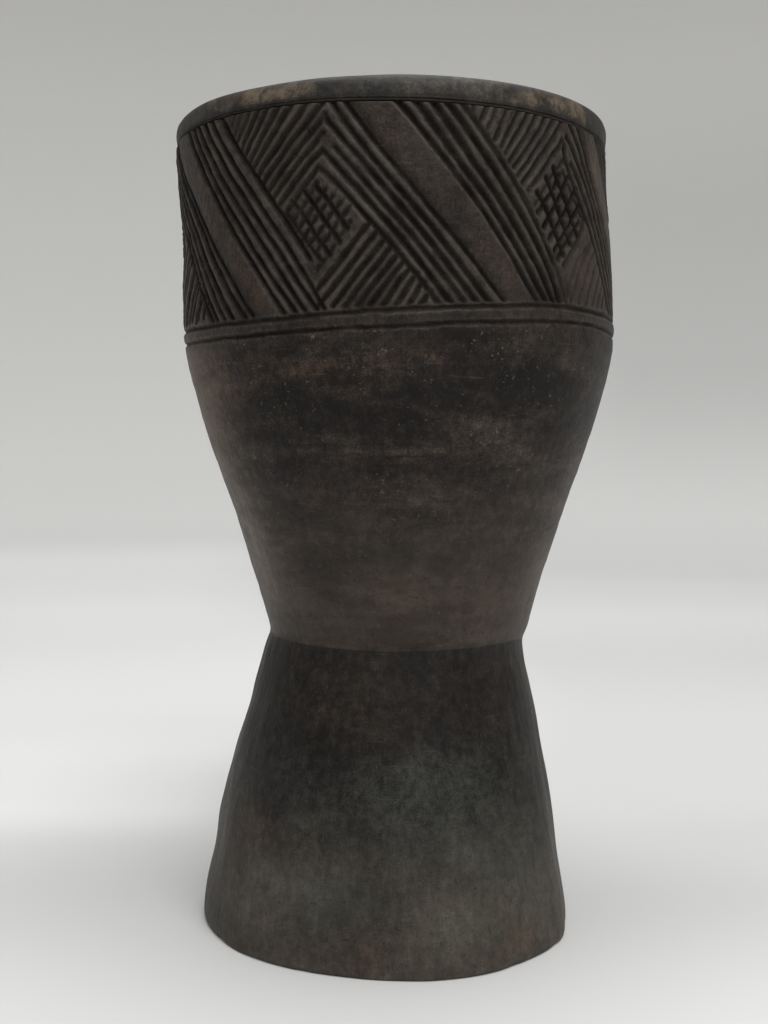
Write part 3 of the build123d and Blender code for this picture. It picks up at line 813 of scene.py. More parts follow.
def uncarved(n, heights):
    """The outside before the carving: grids of angle, height, radius, centre in X and
    depth of the scratches."""
    theta, z = np.meshgrid(angles(n), heights)
    rng = np.random.default_rng(33)

    def noise(*cells):
        return smooth_noise(theta, z, rng, *cells)

    soft = noise(14, 9, 0, 400) * 0.22 + noise(34, 22, 0, 400) * 0.11
    tool = noise(58, 9, 0, 160) * 0.17 + noise(120, 12, 0, 160) * 0.08
    turning = noise(22, 60, 150, 400) * 0.07 + noise(60, 90, 150, 400) * 0.035
    below = 1 - smoothstep(WAIST - 4, WAIST + 4, z)
    radius = outline(z, 1) + foot_bulge(theta, z) + soft
    radius += tool * below * smoothstep(0, 14, z) + turning * (1 - below)
    for *place, depth in FLATS:
        radius -= depth * np.exp(-spread(theta, z, *place) ** 2)
    scratches = np.zeros_like(radius)
    for angle, height, reach_round, reach_up, depth, rise in SCRATCHES:
        level = z - rise * wrapped(theta, angle)
        scratches += depth * np.exp(-spread(theta, level, angle, height, reach_round, reach_up))
    radius -= scratches
    for *place, depth in DENTS:
        radius -= depth * np.exp(-spread(theta, z, *place))
    return theta, z, radius, outline(z, 2), scratches


def bottom_edge_radius():
    """How far the foot's bottom edge is rounded, with chips."""
    theta = angles(N_BODY)
    edge = 2.3 + 0.5 * ring_noise(theta, np.random.default_rng(8), 26)
    edge = np.clip(edge, 1.3, 3.6)
    for angle, reach, depth in CHIPS:
        edge += depth * np.exp(-(wrapped(theta, angle) / reach) ** 2)
    return edge


def add_bottom_edge(shell, edge):
    """Rounded edge from the resting face out and up."""
    theta = angles(N_BODY)
    _, _, radius, centre, _ = uncarved(N_BODY, [FOOT_START])

    def nominal(z):
        return outline(z, 1) + foot_bulge(theta, z)

    for degrees in (0, 22, 45, 68, 90):
        a = math.radians(degrees)
        z = edge * (1 - math.cos(a))
        r = radius[0] + nominal(z) - nominal(FOOT_START) - edge * (1 - math.sin(a))
        warm, light, green = stain(theta, z, STAINS_AND_EDGE_SHEEN)
        shell.add(ring_points(theta, r, z, centre[0]), z.mean(), warm=warm, light=light + 0.12,
                  green=green, crest=0.5 * math.sin(2 * a), foot=1.0)


def add_body(shell, heights, edge=None):
    """Rows of the uncarved body. The foot, given its edge, starts above that edge."""
    theta, z, radius, centre, scratches = uncarved(N_BODY, heights)
    warm, light, green = stain(theta, z, STAINS_AND_EDGE_SHEEN)
    place = z + waist_lean(theta, z)
    if edge is not None:
        fade = np.clip(1 - np.arange(len(z)) / 6.0, 0, 1)[:, None]
        place += np.clip(edge + 0.6 - z, 0, 9) * fade
    for i, height in enumerate(heights):
        shell.add(ring_points(theta[i], radius[i], place[i], centre[i]), height,
                  warm=warm[i], light=light[i], green=green[i],
                  cut=1.1 * np.clip(scratches[i] - 0.05, 0, 1), foot=float(edge is not None))


def add_band(shell):
    turn = angles(N_BAND)
    relief = band_relief(turn, BAND_ROWS)
    # crests rounded by wear, and a slight roughness from the knife
    relief = 0.75 * relief + 0.25 * blur(relief, 1)
    rng = np.random.default_rng(71)
    theta, z, radius, centre, _ = uncarved(N_BAND, BAND_ROWS)
    relief += 0.055 * smooth_noise(theta, z, rng, 620, 95, 295, 398)
    relief += 0.045 * smooth_noise(theta, z, rng, 300, 46, 295, 398)
    above_far = -relief - blur(-relief, 9)
    above_near = -relief - blur(-relief, 3)
    crest = np.clip(above_far * 0.75, 0, 1) * smoothstep(0.0, 0.7, above_near + 0.35)
    crest = np.maximum(crest, smoothstep(0.15, 0.75, above_near * 2.2) * 0.8)
    # colour darkened with the depth of the cut: soot in the grooves and painted shade
    soot_and_shade = np.clip(relief / 1.9, 0, 1)
    flat = 1 - np.clip(blur(relief, 5) * 1.6, 0, 1)
    warm, light, green = stain(theta, z, BAND_STAINS)
    body_warm, body_light, body_green = stain(theta, z, STAINS_AND_EDGE_SHEEN)
    warm = warm * (0.2 + 0.8 * flat) + body_warm
    light = light * (0.5 + 0.5 * flat) + body_light
    green = green + body_green
    # the strip between the two level lines stands a little proud
    middle = 0.5 * (line_height(turn, UPPER_LINE) + line_height(turn, LOWER_LINE))
    radius += 0.40 * np.exp(-((z - middle) / 2.6) ** 4)
    # the top edge is eased
    radius -= relief + 0.35 * np.clip((z - 396.4) / 0.9, 0, 1) ** 2
    place = z + rim_wander(turn) * smoothstep(386, 397.3, z)
    for i, height in enumerate(BAND_ROWS):
        shell.add(ring_points(turn, radius[i], place[i], centre[i]), height, cut=soot_and_shade[i],
                  crest=crest[i], warm=warm[i], light=light[i], green=green[i], band=flat[i])


def add_rim(shell):
    """Top of the wall, groove, lip under the hide, inner edge."""
    theta = angles(N_BODY)
    wander = rim_wander(theta)
    for radius, z, share, v, cut in RIM_STEPS:
        shell.add(ring_points(theta, radius, z + wander * share), v, cut=cut)
    for degrees in (-22, 0, 22, 45, 68, 90):
        a = math.radians(degrees)
        z = LIP_Z + WOOD_LIP * math.sin(a) + wander * (0.35 if degrees < 0 else 0.0)
        shell.add(ring_points(theta, LIP_R + WOOD_LIP * math.cos(a), z),
                  406.0 + degrees / 15, cut=0.3)
    top, inner_r, rounding = LIP_Z + WOOD_LIP, 101.0, 3.4
    shell.add(ring_points(theta, inner_r, top), 413.5, cut=0.2)
    for degrees in (30, 60, 90):
        a = math.radians(degrees)
        z = top - rounding + rounding * math.cos(a)
        shell.add(ring_points(theta, inner_r - rounding * math.sin(a), z),
                  414 + degrees / 30, cut=0.2, inner=0.4)


def add_hollow(shell):
    """Hollow of the bowl, throat and hollow of the foot, from the top down."""
    theta, z = np.meshgrid(angles(N_IN), HOLLOW_ROWS)
    radius, centre = (np.where(z >= THROAT, spline(BOWL_IN[:, 0], BOWL_IN[:, column], z),
                               spline(FOOT_IN[:, 0], FOOT_IN[:, column], z)) for column in (1, 2))
    rng = np.random.default_rng(77)
    marks = scallops(theta, z, rng)
    rough = (smooth_noise(theta, z, rng, 40, 30, 0, 405) * 0.25
             + smooth_noise(theta, z, rng, 130, 80, 0, 405) * 0.12)
    fade = smoothstep(3, 12, z) * (1 - smoothstep(396, 402, z))
    radius = radius + (marks * 0.95 - 0.45 + rough) * fade
    for i, height in enumerate(HOLLOW_ROWS):
        shell.add(ring_points(theta[i], radius[i], z[i], centre[i]), 420 + (402 - height),
                  inner=1.0, crest=np.clip(0.5 - marks[i], 0, 1) * 0.6, cut=0.12,
                  light=rough[i] * 0.5)


def shell_layout(uv, _points):
    """Strips one above the other: foot, bowl, band, then the hidden surfaces in less room."""
    marks = [0, 151.4, 295, 398, 419, 830, 840]
    places = [0.0, 0.27, 0.53, 0.80, 0.83, 0.985, 1.0]
    v = np.interp(uv[:, 1], marks, places)
    return 0.002 + 0.996 * np.stack([uv[:, 0], v], 1)


def build_shell():
    shell = Shape("cut", "crest", "warm", "light", "green", "inner", "band", "foot")
    edge = bottom_edge_radius()
    add_bottom_edge(shell, edge)
    add_body(shell, FOOT_ROWS, edge)
    add_body(shell, BOWL_ROWS)
    add_band(shell)
    add_rim(shell)
    add_hollow(shell)
    _, mouth_r, mouth_x = FOOT_IN[0]
    for out, z, v, inner, light in REST_STEPS:
        shell.add(ring_points(angles(N_IN), mouth_r + out, z, mouth_x), v, inner=inner, light=light)
    # from the resting face to the first ring of the outer edge
    shell.bridge(shell.last, 0, v_b=838.0)
    return shell.build("carved_shell", shell_layout)


# --------------------------------------------------------------- the drumhead
LAP_STAINS = [      # in the columns of STAINS_AND_EDGE_SHEEN
    (-47, 405, 7, 5, 0.9, 0.55, 0.6), (-36, 404, 8, 4, 1.2, 0.65, 0.1), (-26, 402, 8, 4, 1.2, 0.35, -0.4),
    (-12, 405, 10, 5, 0.1, 0.35, 0), (4, 405, 12, 5, 0, 0.28, 0.05), (33, 404, 8, 5, 0.9, 0.55, 0),
    (45, 404, 9, 5, 0.7, 0.5, 0.15), (54, 404, 7, 4, 1.2, 0.6, 0.05), (20, 404, 8, 5, 0.15, 0.25, 0.1),
    (66, 402, 8, 4, 0.3, 0.35, -0.2), (-68, 404, 16, 5, 0.2, 0.4, 0.1), (110, 404, 14, 5, 0.8, 0.45, 0.1),
    (165, 404, 22, 5, 0.5, 0.35, 0), (215, 404, 16, 5, 1, 0.55, 0.1), (255, 404, 12, 5, 0.4, 0.3, 0),
]
# tucked edge and underside of the skirt: radius, folds in it, height, waves in it, v
TUCK = [
    (107.5, 0, 397.8, 0.1, 0), (108.3, 0, 397.78, 0.1, 0.6), (108.38, 0, 398.3, 0, 1.2),
    (108.36, 0, 399.05, 0, 2), (109.3, 0.05, 399.1, 0, 3), (109.95, 0.1, 399.3, 0, 3.7),
]
# outside of the skirt: height, share of the rim's wander, how far it is drawn in, which also darkens it as
# painted shade under the lip
SKIRT = [(400.35, 0.9, 0.34), (401.1, 0.75, 0.16), (402.1, 0.5, 0.05), (403.1, 0.25, 0.0)]
# underside in the groove: radius, height, share of the rim's wander, v
UNDER_GROOVE = [(107.46, 399, 1, -1), (107.46, 400.05, 1, -2), (109.26, 400.03, 1, -3.5),
                (109.53, 400.52, 0.9, -4.5)]
# rings of the playing face and its underside, and where their points are halved
FACE_RADII = [103.2, 101.6, 99.6, 97, 94, 90.5, 86.5, 82, 77, 72, 67, 62, 57, 52, 47, 42, 37,
              32, 27, 22, 18, 14, 10.5, 7.5, 4.5]
FACE_HALVED = (90.5, 57, 27, 14)
UNDER_RADII = (98, 88, 74, 57, 40, 27, 14, 6)
UNDER_HALVED = (88, 57, 27)
FACE_V = 18.0                   # v where the lap ends and the face starts


def head_layout(uv, points):
    """Seen from above: the top in one disc with the lap round it, the underside in a
    smaller disc."""
    v = uv[:, 1]
    angle = np.arctan2(points[:, 0] - RIM_X, -points[:, 1])
    top = np.where(v < FACE_V, 0.36 + 0.05 * (FACE_V - v) / FACE_V,
                   0.36 * np.clip((FACE_V + LIP_R - v) / LIP_R, 0, 1.3))
    bottom = np.where(v > -FACE_V, 0.125 + 0.02 * (v + FACE_V) / FACE_V,
                      0.125 * np.clip((LIP_R + FACE_V + v) / LIP_R, 0, 1))
    centre, radius = np.where(v < 0, 0.85, 0.42), np.where(v < 0, bottom, top)
    return np.stack([centre + radius * np.sin(angle), centre + radius * np.cos(angle)], 1)


def build_head():
    """The hide: a stretched disc rolled over the rim, with a short skirt that is drawn
    in and tucked into the rim's groove."""
    head = Shape("lap", "warm", "light", "green", "play")
    theta = angles(N_BODY)
    rng = np.random.default_rng(52)
    fold, wave, slow_out, slow_up = (ring_noise(theta, rng, n) for n in (160, 28, 9, 7))
    wander = rim_wander(theta)
    # the upper outline dips a little on the left of the front
    dip = (0.9 * np.exp(-(wrapped(theta, -33) / 16.0) ** 2)
           + 0.35 * np.exp(-(wrapped(theta, -8) / 7.0) ** 2))

    def lap(degrees):
        """Radius and height of the lap at an angle round the lip's section."""
        out, up = math.cos(math.radians(degrees)), math.sin(math.radians(degrees))
        r = LIP_R + HIDE_OUT * out + (0.22 * slow_out + 0.10 * wave) * out
        r = r + 0.05 * fold * (0.4 + 0.6 * out) - dip * 0.5 * out * up
        z = LIP_Z + HIDE_OUT * up + (0.12 * slow_up - dip * 0.75) * up
        return np.minimum(r, LIP_R + HIDE_OUT + 0.25), np.minimum(z, HEAD_TOP)

    for radius, folds, z, waves, v in TUCK:
        points = ring_points(theta, radius + folds * fold, z + wander + waves * wave)
        head.add(points, v, lap=1.0)
    side, _ = lap(0)
    # lowest ring of the skirt darkened: painted shade where the lip turns under
    head.add(ring_points(theta, side - 0.62 + 0.08 * fold, 399.75 + wander), 4.4,
             lap=1.0, light=-0.6)
    for z, share, drawn in SKIRT:
        warm, light, green = stain(theta, z, LAP_STAINS)
        r = side - drawn + 0.05 * fold * (404 - z) / 4
        # painted shade: the skirt is darker the farther it is drawn in
        head.add(ring_points(theta, r, z + wander * share), z - 395.5, lap=1.0,
                 warm=warm, light=light - 1.1 * drawn, green=green)
    for degrees in range(0, 91, 9):
        r, z = lap(degrees)
        warm, light, green = stain(theta, z, LAP_STAINS)
        head.add(ring_points(theta, r, z), 8.5 + degrees * 0.105,
                 lap=1.0 - 0.35 * max(0, (degrees - 60) / 30), warm=warm,
                 light=light * (1 - 0.3 * degrees / 90), green=green)

    # playing face: a little slack between its middle and the rim
    n = N_BODY
    for r in FACE_RADII:
        if r in FACE_HALVED:
            n //= 2
        turn, every = angles(n), N_BODY // n
        slack = smoothstep(104, 84, r)
        uneven = smooth_noise(turn, r, np.random.default_rng(90), 8, 5, 0, 104)
        hold = smoothstep(98, 104, r)
        z = HEAD_TOP + 0.16 * slack * uneven - 0.20 * slack - dip[::every] * 0.75 * hold
        z = np.minimum(z + 0.12 * np.minimum(slow_up[::every], 0) * hold, HEAD_TOP)
        head.add(ring_points(turn, r, z), FACE_V + (LIP_R - r),
                 lap=0.65 * smoothstep(88, 104, r), play=1 - smoothstep(20, 92, r))
    head.cap((RIM_X, 0, 409.8), FACE_V + LIP_R, up=True)

    # underside, from the tucked edge to the middle
    head.last = 0
    for r, z, share, v in UNDER_GROOVE:
        head.add(ring_points(theta, r, z + share * wander), v, flip=True, lap=1.0)
    section = HIDE_OUT - HIDE_THICK
    for degrees in (0, 22, 45, 68, 90):
        a = math.radians(degrees)
        points = ring_points(theta, LIP_R + section * math.cos(a), LIP_Z + section * math.sin(a))
        head.add(points, -7 - degrees / 10, flip=True, lap=0.6)
    n = N_BODY
    for r in UNDER_RADII:
        if r in UNDER_HALVED:
            n //= 2
        z = HEAD_TOP - HIDE_THICK - 0.28 * smoothstep(104, 84, r)
        head.add(ring_points(angles(n), r, z), -FACE_V - (LIP_R - r), flip=True, lap=0.2)
    head.cap((RIM_X, 0, 408.85), -FACE_V - LIP_R, up=False)
    return head.build("hide_head", head_layout)


# -------------------------------------------------------------------- the cord
def build_cord():
    """Two strands of sinew laid round each other, in the rim's groove."""
    ring_r, z_centre = 109.12, 398.34
    twists, segments, sides = 216, 2160, 7
    strand_r, offset = 0.278, 0.345
    cord = Shape()
    theta = angles(segments)
    noise = ring_noise(theta, np.random.default_rng(64), 300)
    thick = strand_r * (1 + 0.10 * np.clip(noise, -1.5, 1.5))
    for strand in range(2):
        phase = twists * np.radians(theta) + strand * math.pi
        r = ring_r + offset * np.cos(phase)
        z = z_centre + offset * np.sin(phase) + rim_wander(theta)
        first = len(cord.rings)
        for k in range(sides):
            a = k / sides * 2 * math.pi
            points = ring_points(theta, r + thick * math.cos(a), z + thick * math.sin(a))
            cord.ring(points, (strand + k / sides) / 2)
        for k in range(sides):
            cord.bridge(first + k, first + (k + 1) % sides, v_b=(strand + (k + 1) / sides) / 2)
    return cord.build("binding_cord")


# ------------------------------------------------------------------ materials
class Value:
    """A shader output that can be added, subtracted and multiplied."""

    def __init__(self, graph, socket):
        self.graph, self.socket = graph, socket

    def __add__(self, other):
        return self.graph.math("ADD", self, other)

    def __radd__(self, other):
        return self.graph.math("ADD", other, self)

    def __sub__(self, other):
        return self.graph.math("SUBTRACT", self, other)

    def __rsub__(self, other):
        return self.graph.math("SUBTRACT", other, self)

    def __mul__(self, other):
        return self.graph.math("MULTIPLY", self, other)


class Graph:
    """A material and short names for its shader nodes. Places are object coordinates, in
    metres."""

    def __init__(self, name):
        self.material = bpy.data.materials.new(name)
        self.material.use_nodes = True
        self.tree = self.material.node_tree
        self.tree.nodes.clear()
        output = self.tree.nodes.new("ShaderNodeOutputMaterial")
        self.shader = self.tree.nodes.new("ShaderNodeBsdfPrincipled")
        self.tree.links.new(self.shader.outputs[0], output.inputs[0])
        self.place = self.node("TexCoord", {}, "Object")

    def put(self, socket, value):
        if isinstance(value, Value):
            self.tree.links.new(value.socket, socket)
        elif socket.type == "RGBA":
            socket.default_value = (*value, 1.0)
        else:
            socket.default_value = value

    def node(self, kind, inputs, output=0, **settings):
        node = self.tree.nodes.new("ShaderNode" + kind)
        for name, value in settings.items():
            setattr(node, name, value)
        for name, value in inputs.items():
            self.put(node.inputs[name], value)
        return Value(self, node.outputs[output])

    def attr(self, name):
        return self.node("Attribute", {}, "Fac", attribute_name=name)

    def stretch(self, level, upright, tilt=(0, 0, 0)):
        """Place scaled by level in X and Y and by upright in Z."""
        scale = (level, level, upright)
        return self.node("Mapping", {"Vector": self.place, "Scale": scale, "Rotation": tilt})

    def noise(self, scale, detail, rough=0.5, distortion=0.0, place=None):
        return self.node("TexNoise", {
            "Vector": place or self.place, "Scale": scale, "Detail": detail,
            "Roughness": rough, "Distortion": distortion}, "Fac")

    def math(self, operation, a, b=0.0, clamp=False):
        return self.node("Math", {0: a, 1: b, 2: 0.0}, operation=operation, use_clamp=clamp)

    def span(self, x, start, end, low=0.0, high=1.0, kind="SMOOTHSTEP"):
        """low to high while x goes from start to end."""
        return self.node("MapRange", {
            "Value": x, "From Min": start, "From Max": end, "To Min": low, "To Max": high,
        }, "Result", interpolation_type=kind, clamp=True)

    def linear(self, x, start, end, high=1.0):
        return self.span(x, start, end, 0.0, high, "LINEAR")

    def mix(self, factor, a, b, kind="MIX"):
        # inputs 6 and 7 and output 2 are the colour ones
        return self.node("Mix", {"Factor": factor, 6: a, 7: b}, 2,
                         data_type="RGBA", blend_type=kind, clamp_factor=True)

    def ramp(self, factor, stops):
        """Colour that follows (position, colour) stops."""
        value = self.node("ValToRGB", {0: factor})
        elements = value.socket.node.color_ramp.elements
        while len(elements) < len(stops):
            elements.new(0.5)
        for element, (position, color) in zip(elements, stops):
            element.position = position
            element.color = (*color, 1.0)
        return value

    def up_drum(self, z, points):
        """A value, up to 2, that follows (height, value) points."""
        height = 0.41
        stops = [(at / height, (value / 2,) * 3) for at, value in points]
        return self.ramp(self.linear(z, 0.0, height), stops) * 2.0

    def bell(self, x, tightness):
        """1 at x = 0, falling away to both sides."""
        squared = self.math("POWER", self.math("ABSOLUTE", x) * tightness, 2.0)
        return self.math("EXPONENT", squared * -1.0)

    def axes(self):
        separate = self.node("SeparateXYZ", {0: self.place}).socket.node
        return [Value(self, output) for output in separate.outputs]

    def bump(self, height, strength, distance):
        return self.node("Bump", {"Height": height, "Strength": strength, "Distance": distance})

    def finish(self, color, rough, specular, normal=None):
        inputs = self.shader.inputs
        self.put(inputs["Base Color"], color)
        self.put(inputs["Roughness"], rough)
        self.put(inputs["Specular IOR Level"], specular)
        if normal is not None:
            self.put(inputs["Normal"], normal)
        return self.material


def wood_material():
    g = Graph("carved_wood")
    _, _, z = g.axes()
    cut, crest, warm, light, green, inner, plain, on_foot = (
        g.attr(name) for name in ("cut", "crest", "warm", "light", "green", "inner", "band", "foot"))

    big = g.noise(scale=16, detail=3)
    mid = g.noise(scale=62, detail=5, rough=0.62, distortion=0.4)
    small = g.noise(scale=240, detail=4, rough=0.6)
    fine = g.noise(scale=1350, detail=3, rough=0.65)
    fibre = g.noise(scale=300, detail=4, rough=0.62, distortion=0.15, place=g.stretch(1, 0.075))
    fibre_fine = g.noise(scale=900, detail=3, rough=0.6, place=g.stretch(1, 0.05))
    on_band = g.span(z, 0.2960, 0.3030)
    on_bowl = g.math("SUBTRACT", 1.0 - on_foot, on_band, clamp=True)

    # lightness of the patina
    streak = g.noise(scale=85, detail=4, rough=0.6, distortion=0.5,
                     place=g.stretch(0.22, 1.0, tilt=(0.13, 0.20, 0.0)))
    lumps = mid - 0.5
    # strength of the coarse and of the fine mottling with height
    coarse = g.up_drum(z, [
        (0.0, 0.95), (0.045, 1.0), (0.075, 1.38), (0.140, 1.60), (0.156, 0.58), (0.190, 0.66),
        (0.215, 1.15), (0.250, 1.90), (0.288, 1.90), (0.302, 1.0), (0.41, 1.0)])
    grainy = g.up_drum(z, [
        (0.0, 0.42), (0.045, 0.50), (0.075, 0.78), (0.140, 0.78), (0.156, 0.20), (0.190, 0.26),
        (0.215, 0.56), (0.250, 1.10), (0.288, 1.15), (0.302, 0.95), (0.41, 1.0)])
    # lighter low on the bowl, which faces the pale floor: painted bounce light, with some wear
    bowl_bounce_and_wear = g.up_drum(z, [
        (0.150, 0.42), (0.185, 0.40), (0.215, 0.30), (0.262, 0.10), (0.41, 0.10)])
    tone = (
        0.53
        # mottling, from coarse to fine
        + (big - 0.5) * 0.50
        + lumps * coarse * 0.46
        + (small - 0.5) * coarse * 0.66
        + (fine - 0.5) * grainy * 1.35
        # bands that follow the turning, and upright grain
        + (streak - 0.5) * ((on_bowl * 0.62 + 0.10) * coarse)
        + (fibre - 0.5) * (0.14 + on_foot * 0.10)
        + (fibre_fine - 0.5) * grainy * 0.34
        # lightness of the stains; along the bowl's edges it is painted sheen
        + light * 0.55
        # darkest on the band and the bowl; lighter low on the bowl, as painted bounce light from the floor
        # with some wear; darker towards the top of the foot
        + on_band * -0.32
        + on_bowl * bowl_bounce_and_wear
        + on_bowl * -0.46
        + on_foot * g.span(z, 0.030, 0.110, low=0.06, high=-0.25)
        # painted shadow on the top of the foot, under the bowl's overhang at the waist
        + g.span(z, 0.122, 0.147, low=0.0, high=-0.14) * on_foot)
    base = g.ramp(g.linear(tone, -0.35, 1.0), [
        (0.0, (0.0030, 0.0024, 0.0020)), (0.259, (0.0075, 0.0061, 0.0052)),
        (0.481, (0.0180, 0.0146, 0.0123)), (0.644, (0.0330, 0.0268, 0.0224)),
        (0.837, (0.0640, 0.0532, 0.0436)), (1.0, (0.120, 0.101, 0.083))])

    def tinted(base, amount, full_tone, dark, pale):
        """Base partly turned to a tint that goes from dark to pale with the tone."""
        return g.mix(amount, base, g.mix(g.linear(tone, 0.0, full_tone), dark, pale))

    # reddish, bluish and olive stains that fade out softly
    red = g.span(warm * 0.85 + lumps * 0.45 + (small - 0.5) * 0.35, 0.05, 1.15)
    base = tinted(base, red * 0.72, 0.90, (0.0120, 0.0070, 0.0048), (0.0900, 0.0590, 0.0400))
    cool = g.span(warm * -1.0, 0.02, 0.8)
    base = tinted(base, cool * 0.70, 0.90, (0.0058, 0.0066, 0.0066), (0.054, 0.058, 0.055))
    moss = g.span(green + lumps * 0.40 + on_foot * 0.16, 0.02, 0.95)
    base = tinted(base, moss * 0.60, 0.95, (0.0072, 0.0074, 0.0060), (0.080, 0.079, 0.066))
    # the plain bars of the band are browner
    base = tinted(base, plain * 0.60, 0.9, (0.0062, 0.0045, 0.0036), (0.066, 0.050, 0.039))
    # the whole is warmer above the foot
    tint = g.mix(on_foot, (1.03, 0.975, 0.92), (1.0, 1.0, 0.96))
    base = g.mix(1.0, base, tint, "MULTIPLY")

    # light flecks, mostly high on the bowl, and dark pits
    fleck = (g.span(g.noise(scale=520, detail=2), 0.655, 0.715)
             * g.span(g.noise(scale=40, detail=2), 0.40, 0.60)
             * (0.22 + on_bowl * g.span(z, 0.20, 0.27, low=0.2, high=0.78)))
    base = g.mix(fleck * 0.70, base, (0.125, 0.110, 0.091))
    dirt = g.span(g.noise(scale=420, detail=3, rough=0.6), 0.60, 0.70)
    base = g.mix(dirt * 0.45, base, (0.0080, 0.0070, 0.0062))
    # hair-fine scratches: level, slanting, and upright on the foot
    level = g.noise(scale=800, detail=2, place=g.stretch(0.05, 1.0, tilt=(0.05, 0.02, 0)))
    slant = g.noise(scale=620, detail=1, place=g.stretch(0.07, 1.0, tilt=(0.5, 0.4, 0)))
    steep = g.noise(scale=760, detail=2, place=g.stretch(1.0, 0.045, tilt=(0.06, -0.05, 0)))
    lines = (g.span(level, 0.665, 0.70) * (on_bowl * 0.14 + 0.04)
             + g.span(slant, 0.70, 0.735) * 0.30
             + g.span(steep, 0.675, 0.71) * (on_foot * 0.30))
    base = g.mix(lines * g.span(mid, 0.45, 0.6) * 0.8, base, (0.092, 0.082, 0.070))

    # worn ridges go grey; cuts darken with their depth, as soot and as painted shade in the grooves, the
    # scratches and the rim's groove
    worn = crest * g.span(mid + small * 0.5, 0.45, 0.95) * 0.62
    base = g.mix(worn, base, (0.082, 0.070, 0.058))
    base = g.mix(g.linear(cut, 0.03, 0.80, high=0.82), base, (0.0052, 0.0045, 0.0039))

    # the hollow is browner and dusty, with grain
    raw = g.ramp(fibre * 0.6 + mid * 0.3 + small * 0.2 + -0.05, [
        (0.0, (0.018, 0.011, 0.007)), (0.40, (0.050, 0.031, 0.019)),
        (0.62, (0.088, 0.058, 0.037)), (1.0, (0.165, 0.118, 0.080))])
    raw = g.mix(crest * 0.5, raw, (0.150, 0.110, 0.077))
    base = g.mix(inner, base, raw)

    # duller in cuts and in the hollow
    rough = (0.47 + (mid - 0.5) * 0.22 + (fine - 0.5) * 0.20 + cut * 0.32 + crest * -0.02
             + inner * 0.25 + fleck * 0.1 + on_foot * 0.05)
    rough = g.math("MINIMUM", g.math("MAXIMUM", rough, 0.30), 0.95)
    # relief: raised grain, sunk pits and scratches
    grain = (fibre * (0.45 + on_foot * 0.35) + streak * (on_bowl * 0.5) + fibre_fine * 0.35
             + fine * 0.40 + small * 0.5 + dirt * -0.45 + lines * -0.35)
    return g.finish(base, rough, specular=g.math("SUBTRACT", 0.155, cut * 0.12, clamp=True),
                    normal=g.bump(grain, strength=0.7, distance=0.0005))


def hide_material():
    g = Graph("hide")
    lap, warm, light, play = (g.attr(name) for name in ("lap", "warm", "light", "play"))
    big = g.noise(scale=18, detail=3, rough=0.55, distortion=0.6)
    mid = g.noise(scale=75, detail=5, rough=0.62, distortion=0.5)
    small = g.noise(scale=300, detail=4, rough=0.6)
    fine = g.noise(scale=1300, detail=2, rough=0.6)
    vein = g.noise(scale=28, detail=6, rough=0.6, distortion=2.4)
    vein = g.span(g.math("ABSOLUTE", vein - 0.5), 0.0, 0.022, low=1.0, high=0.0)
    cells = g.node("TexVoronoi", {"Vector": g.place, "Scale": 950}, "Distance")
    pores = g.span(cells, 0.0, 0.34, low=1.0, high=0.0)
    # mottling from coarse to fine, darker in the middle, plus the lap's stains and the skirt's painted
    # shade
    tone = (0.42 + (big - 0.5) * 0.75 + (mid - 0.5) * 0.75 + (small - 0.5) * 0.45
            + (fine - 0.5) * 0.25 + play * -0.12 + light * 0.35)
    face = g.ramp(tone, [
        (0.0, (0.022, 0.016, 0.011)), (0.35, (0.066, 0.050, 0.034)),
        (0.60, (0.122, 0.096, 0.066)), (1.0, (0.235, 0.190, 0.132))])
    face = g.mix(vein * 0.28, face, (0.034, 0.024, 0.016))
    face = g.mix(pores * 0.30, face, (0.026, 0.019, 0.013))
    # the lap is darker and more ragged, with tan and dark patches
    rag = g.span(mid * 0.7 + small * 0.5, 0.45, 0.80)
    edge_tone = tone + (rag - 0.5) * 0.30 + (fine - 0.5) * 0.5 + -0.10
    edge = g.ramp(edge_tone, [
        (0.0, (0.0060, 0.0052, 0.0045)), (0.32, (0.0175, 0.0150, 0.0125)),
        (0.58, (0.037, 0.032, 0.026)), (0.85, (0.080, 0.068, 0.053)), (1.0, (0.13, 0.108, 0.082))])
    tan_share = g.span(warm + (mid - 0.5) * 1.2 + (small - 0.5) * 0.6, 0.25, 1.15)
    tan = g.mix(g.span(edge_tone, 0.2, 0.85), (0.024, 0.016, 0.011), (0.130, 0.096, 0.064))
    edge = g.mix(tan_share * 0.70, edge, tan)
    dark = g.span(g.noise(scale=210, detail=4, rough=0.7), 0.58, 0.68)
    edge = g.mix(dark * 0.55, edge, (0.009, 0.0075, 0.0065))
    base = g.mix(g.span(lap, 0.15, 0.95), face, edge)
    rough = 0.56 + (mid - 0.5) * 0.25 + (fine - 0.5) * 0.2 + play * -0.08 + pores * 0.08
    # relief: raised veins, sunk pores and dark patches
    height = (mid * 0.8 + small * 0.7 + fine * 0.25 + vein * 0.35 + pores * -0.35 + dark * -0.3)
    return g.finish(base, rough, specular=0.28,
                    normal=g.bump(height, strength=0.5, distance=0.0005))


def cord_material():
    g = Graph("sinew")
    mid = g.noise(scale=160, detail=4, rough=0.6)
    fine = g.noise(scale=1800, detail=3, rough=0.6, place=g.stretch(1, 0.4))
    base = g.ramp(mid * 0.6 + fine * 0.5 + -0.05, [
        (0.0, (0.006, 0.005, 0.004)), (0.5, (0.026, 0.020, 0.015)), (1.0, (0.080, 0.062, 0.042))])
    return g.finish(base, 0.6 + fine * 0.2, specular=0.35,
                    normal=g.bump(fine + mid * 0.5, strength=0.5, distance=0.0003))


# ------------------------------------------------------------------- assembly
for build, material, piece, slot in (
        (build_shell, wood_material, "shell", "carved_wood"),
        (build_head, hide_material, "drumhead", "hide"),
        (build_cord, cord_material, "head_binding", "sinew")):
    part = build()
    part.data.materials.append(material())
    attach(part, "root")
    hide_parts(piece)


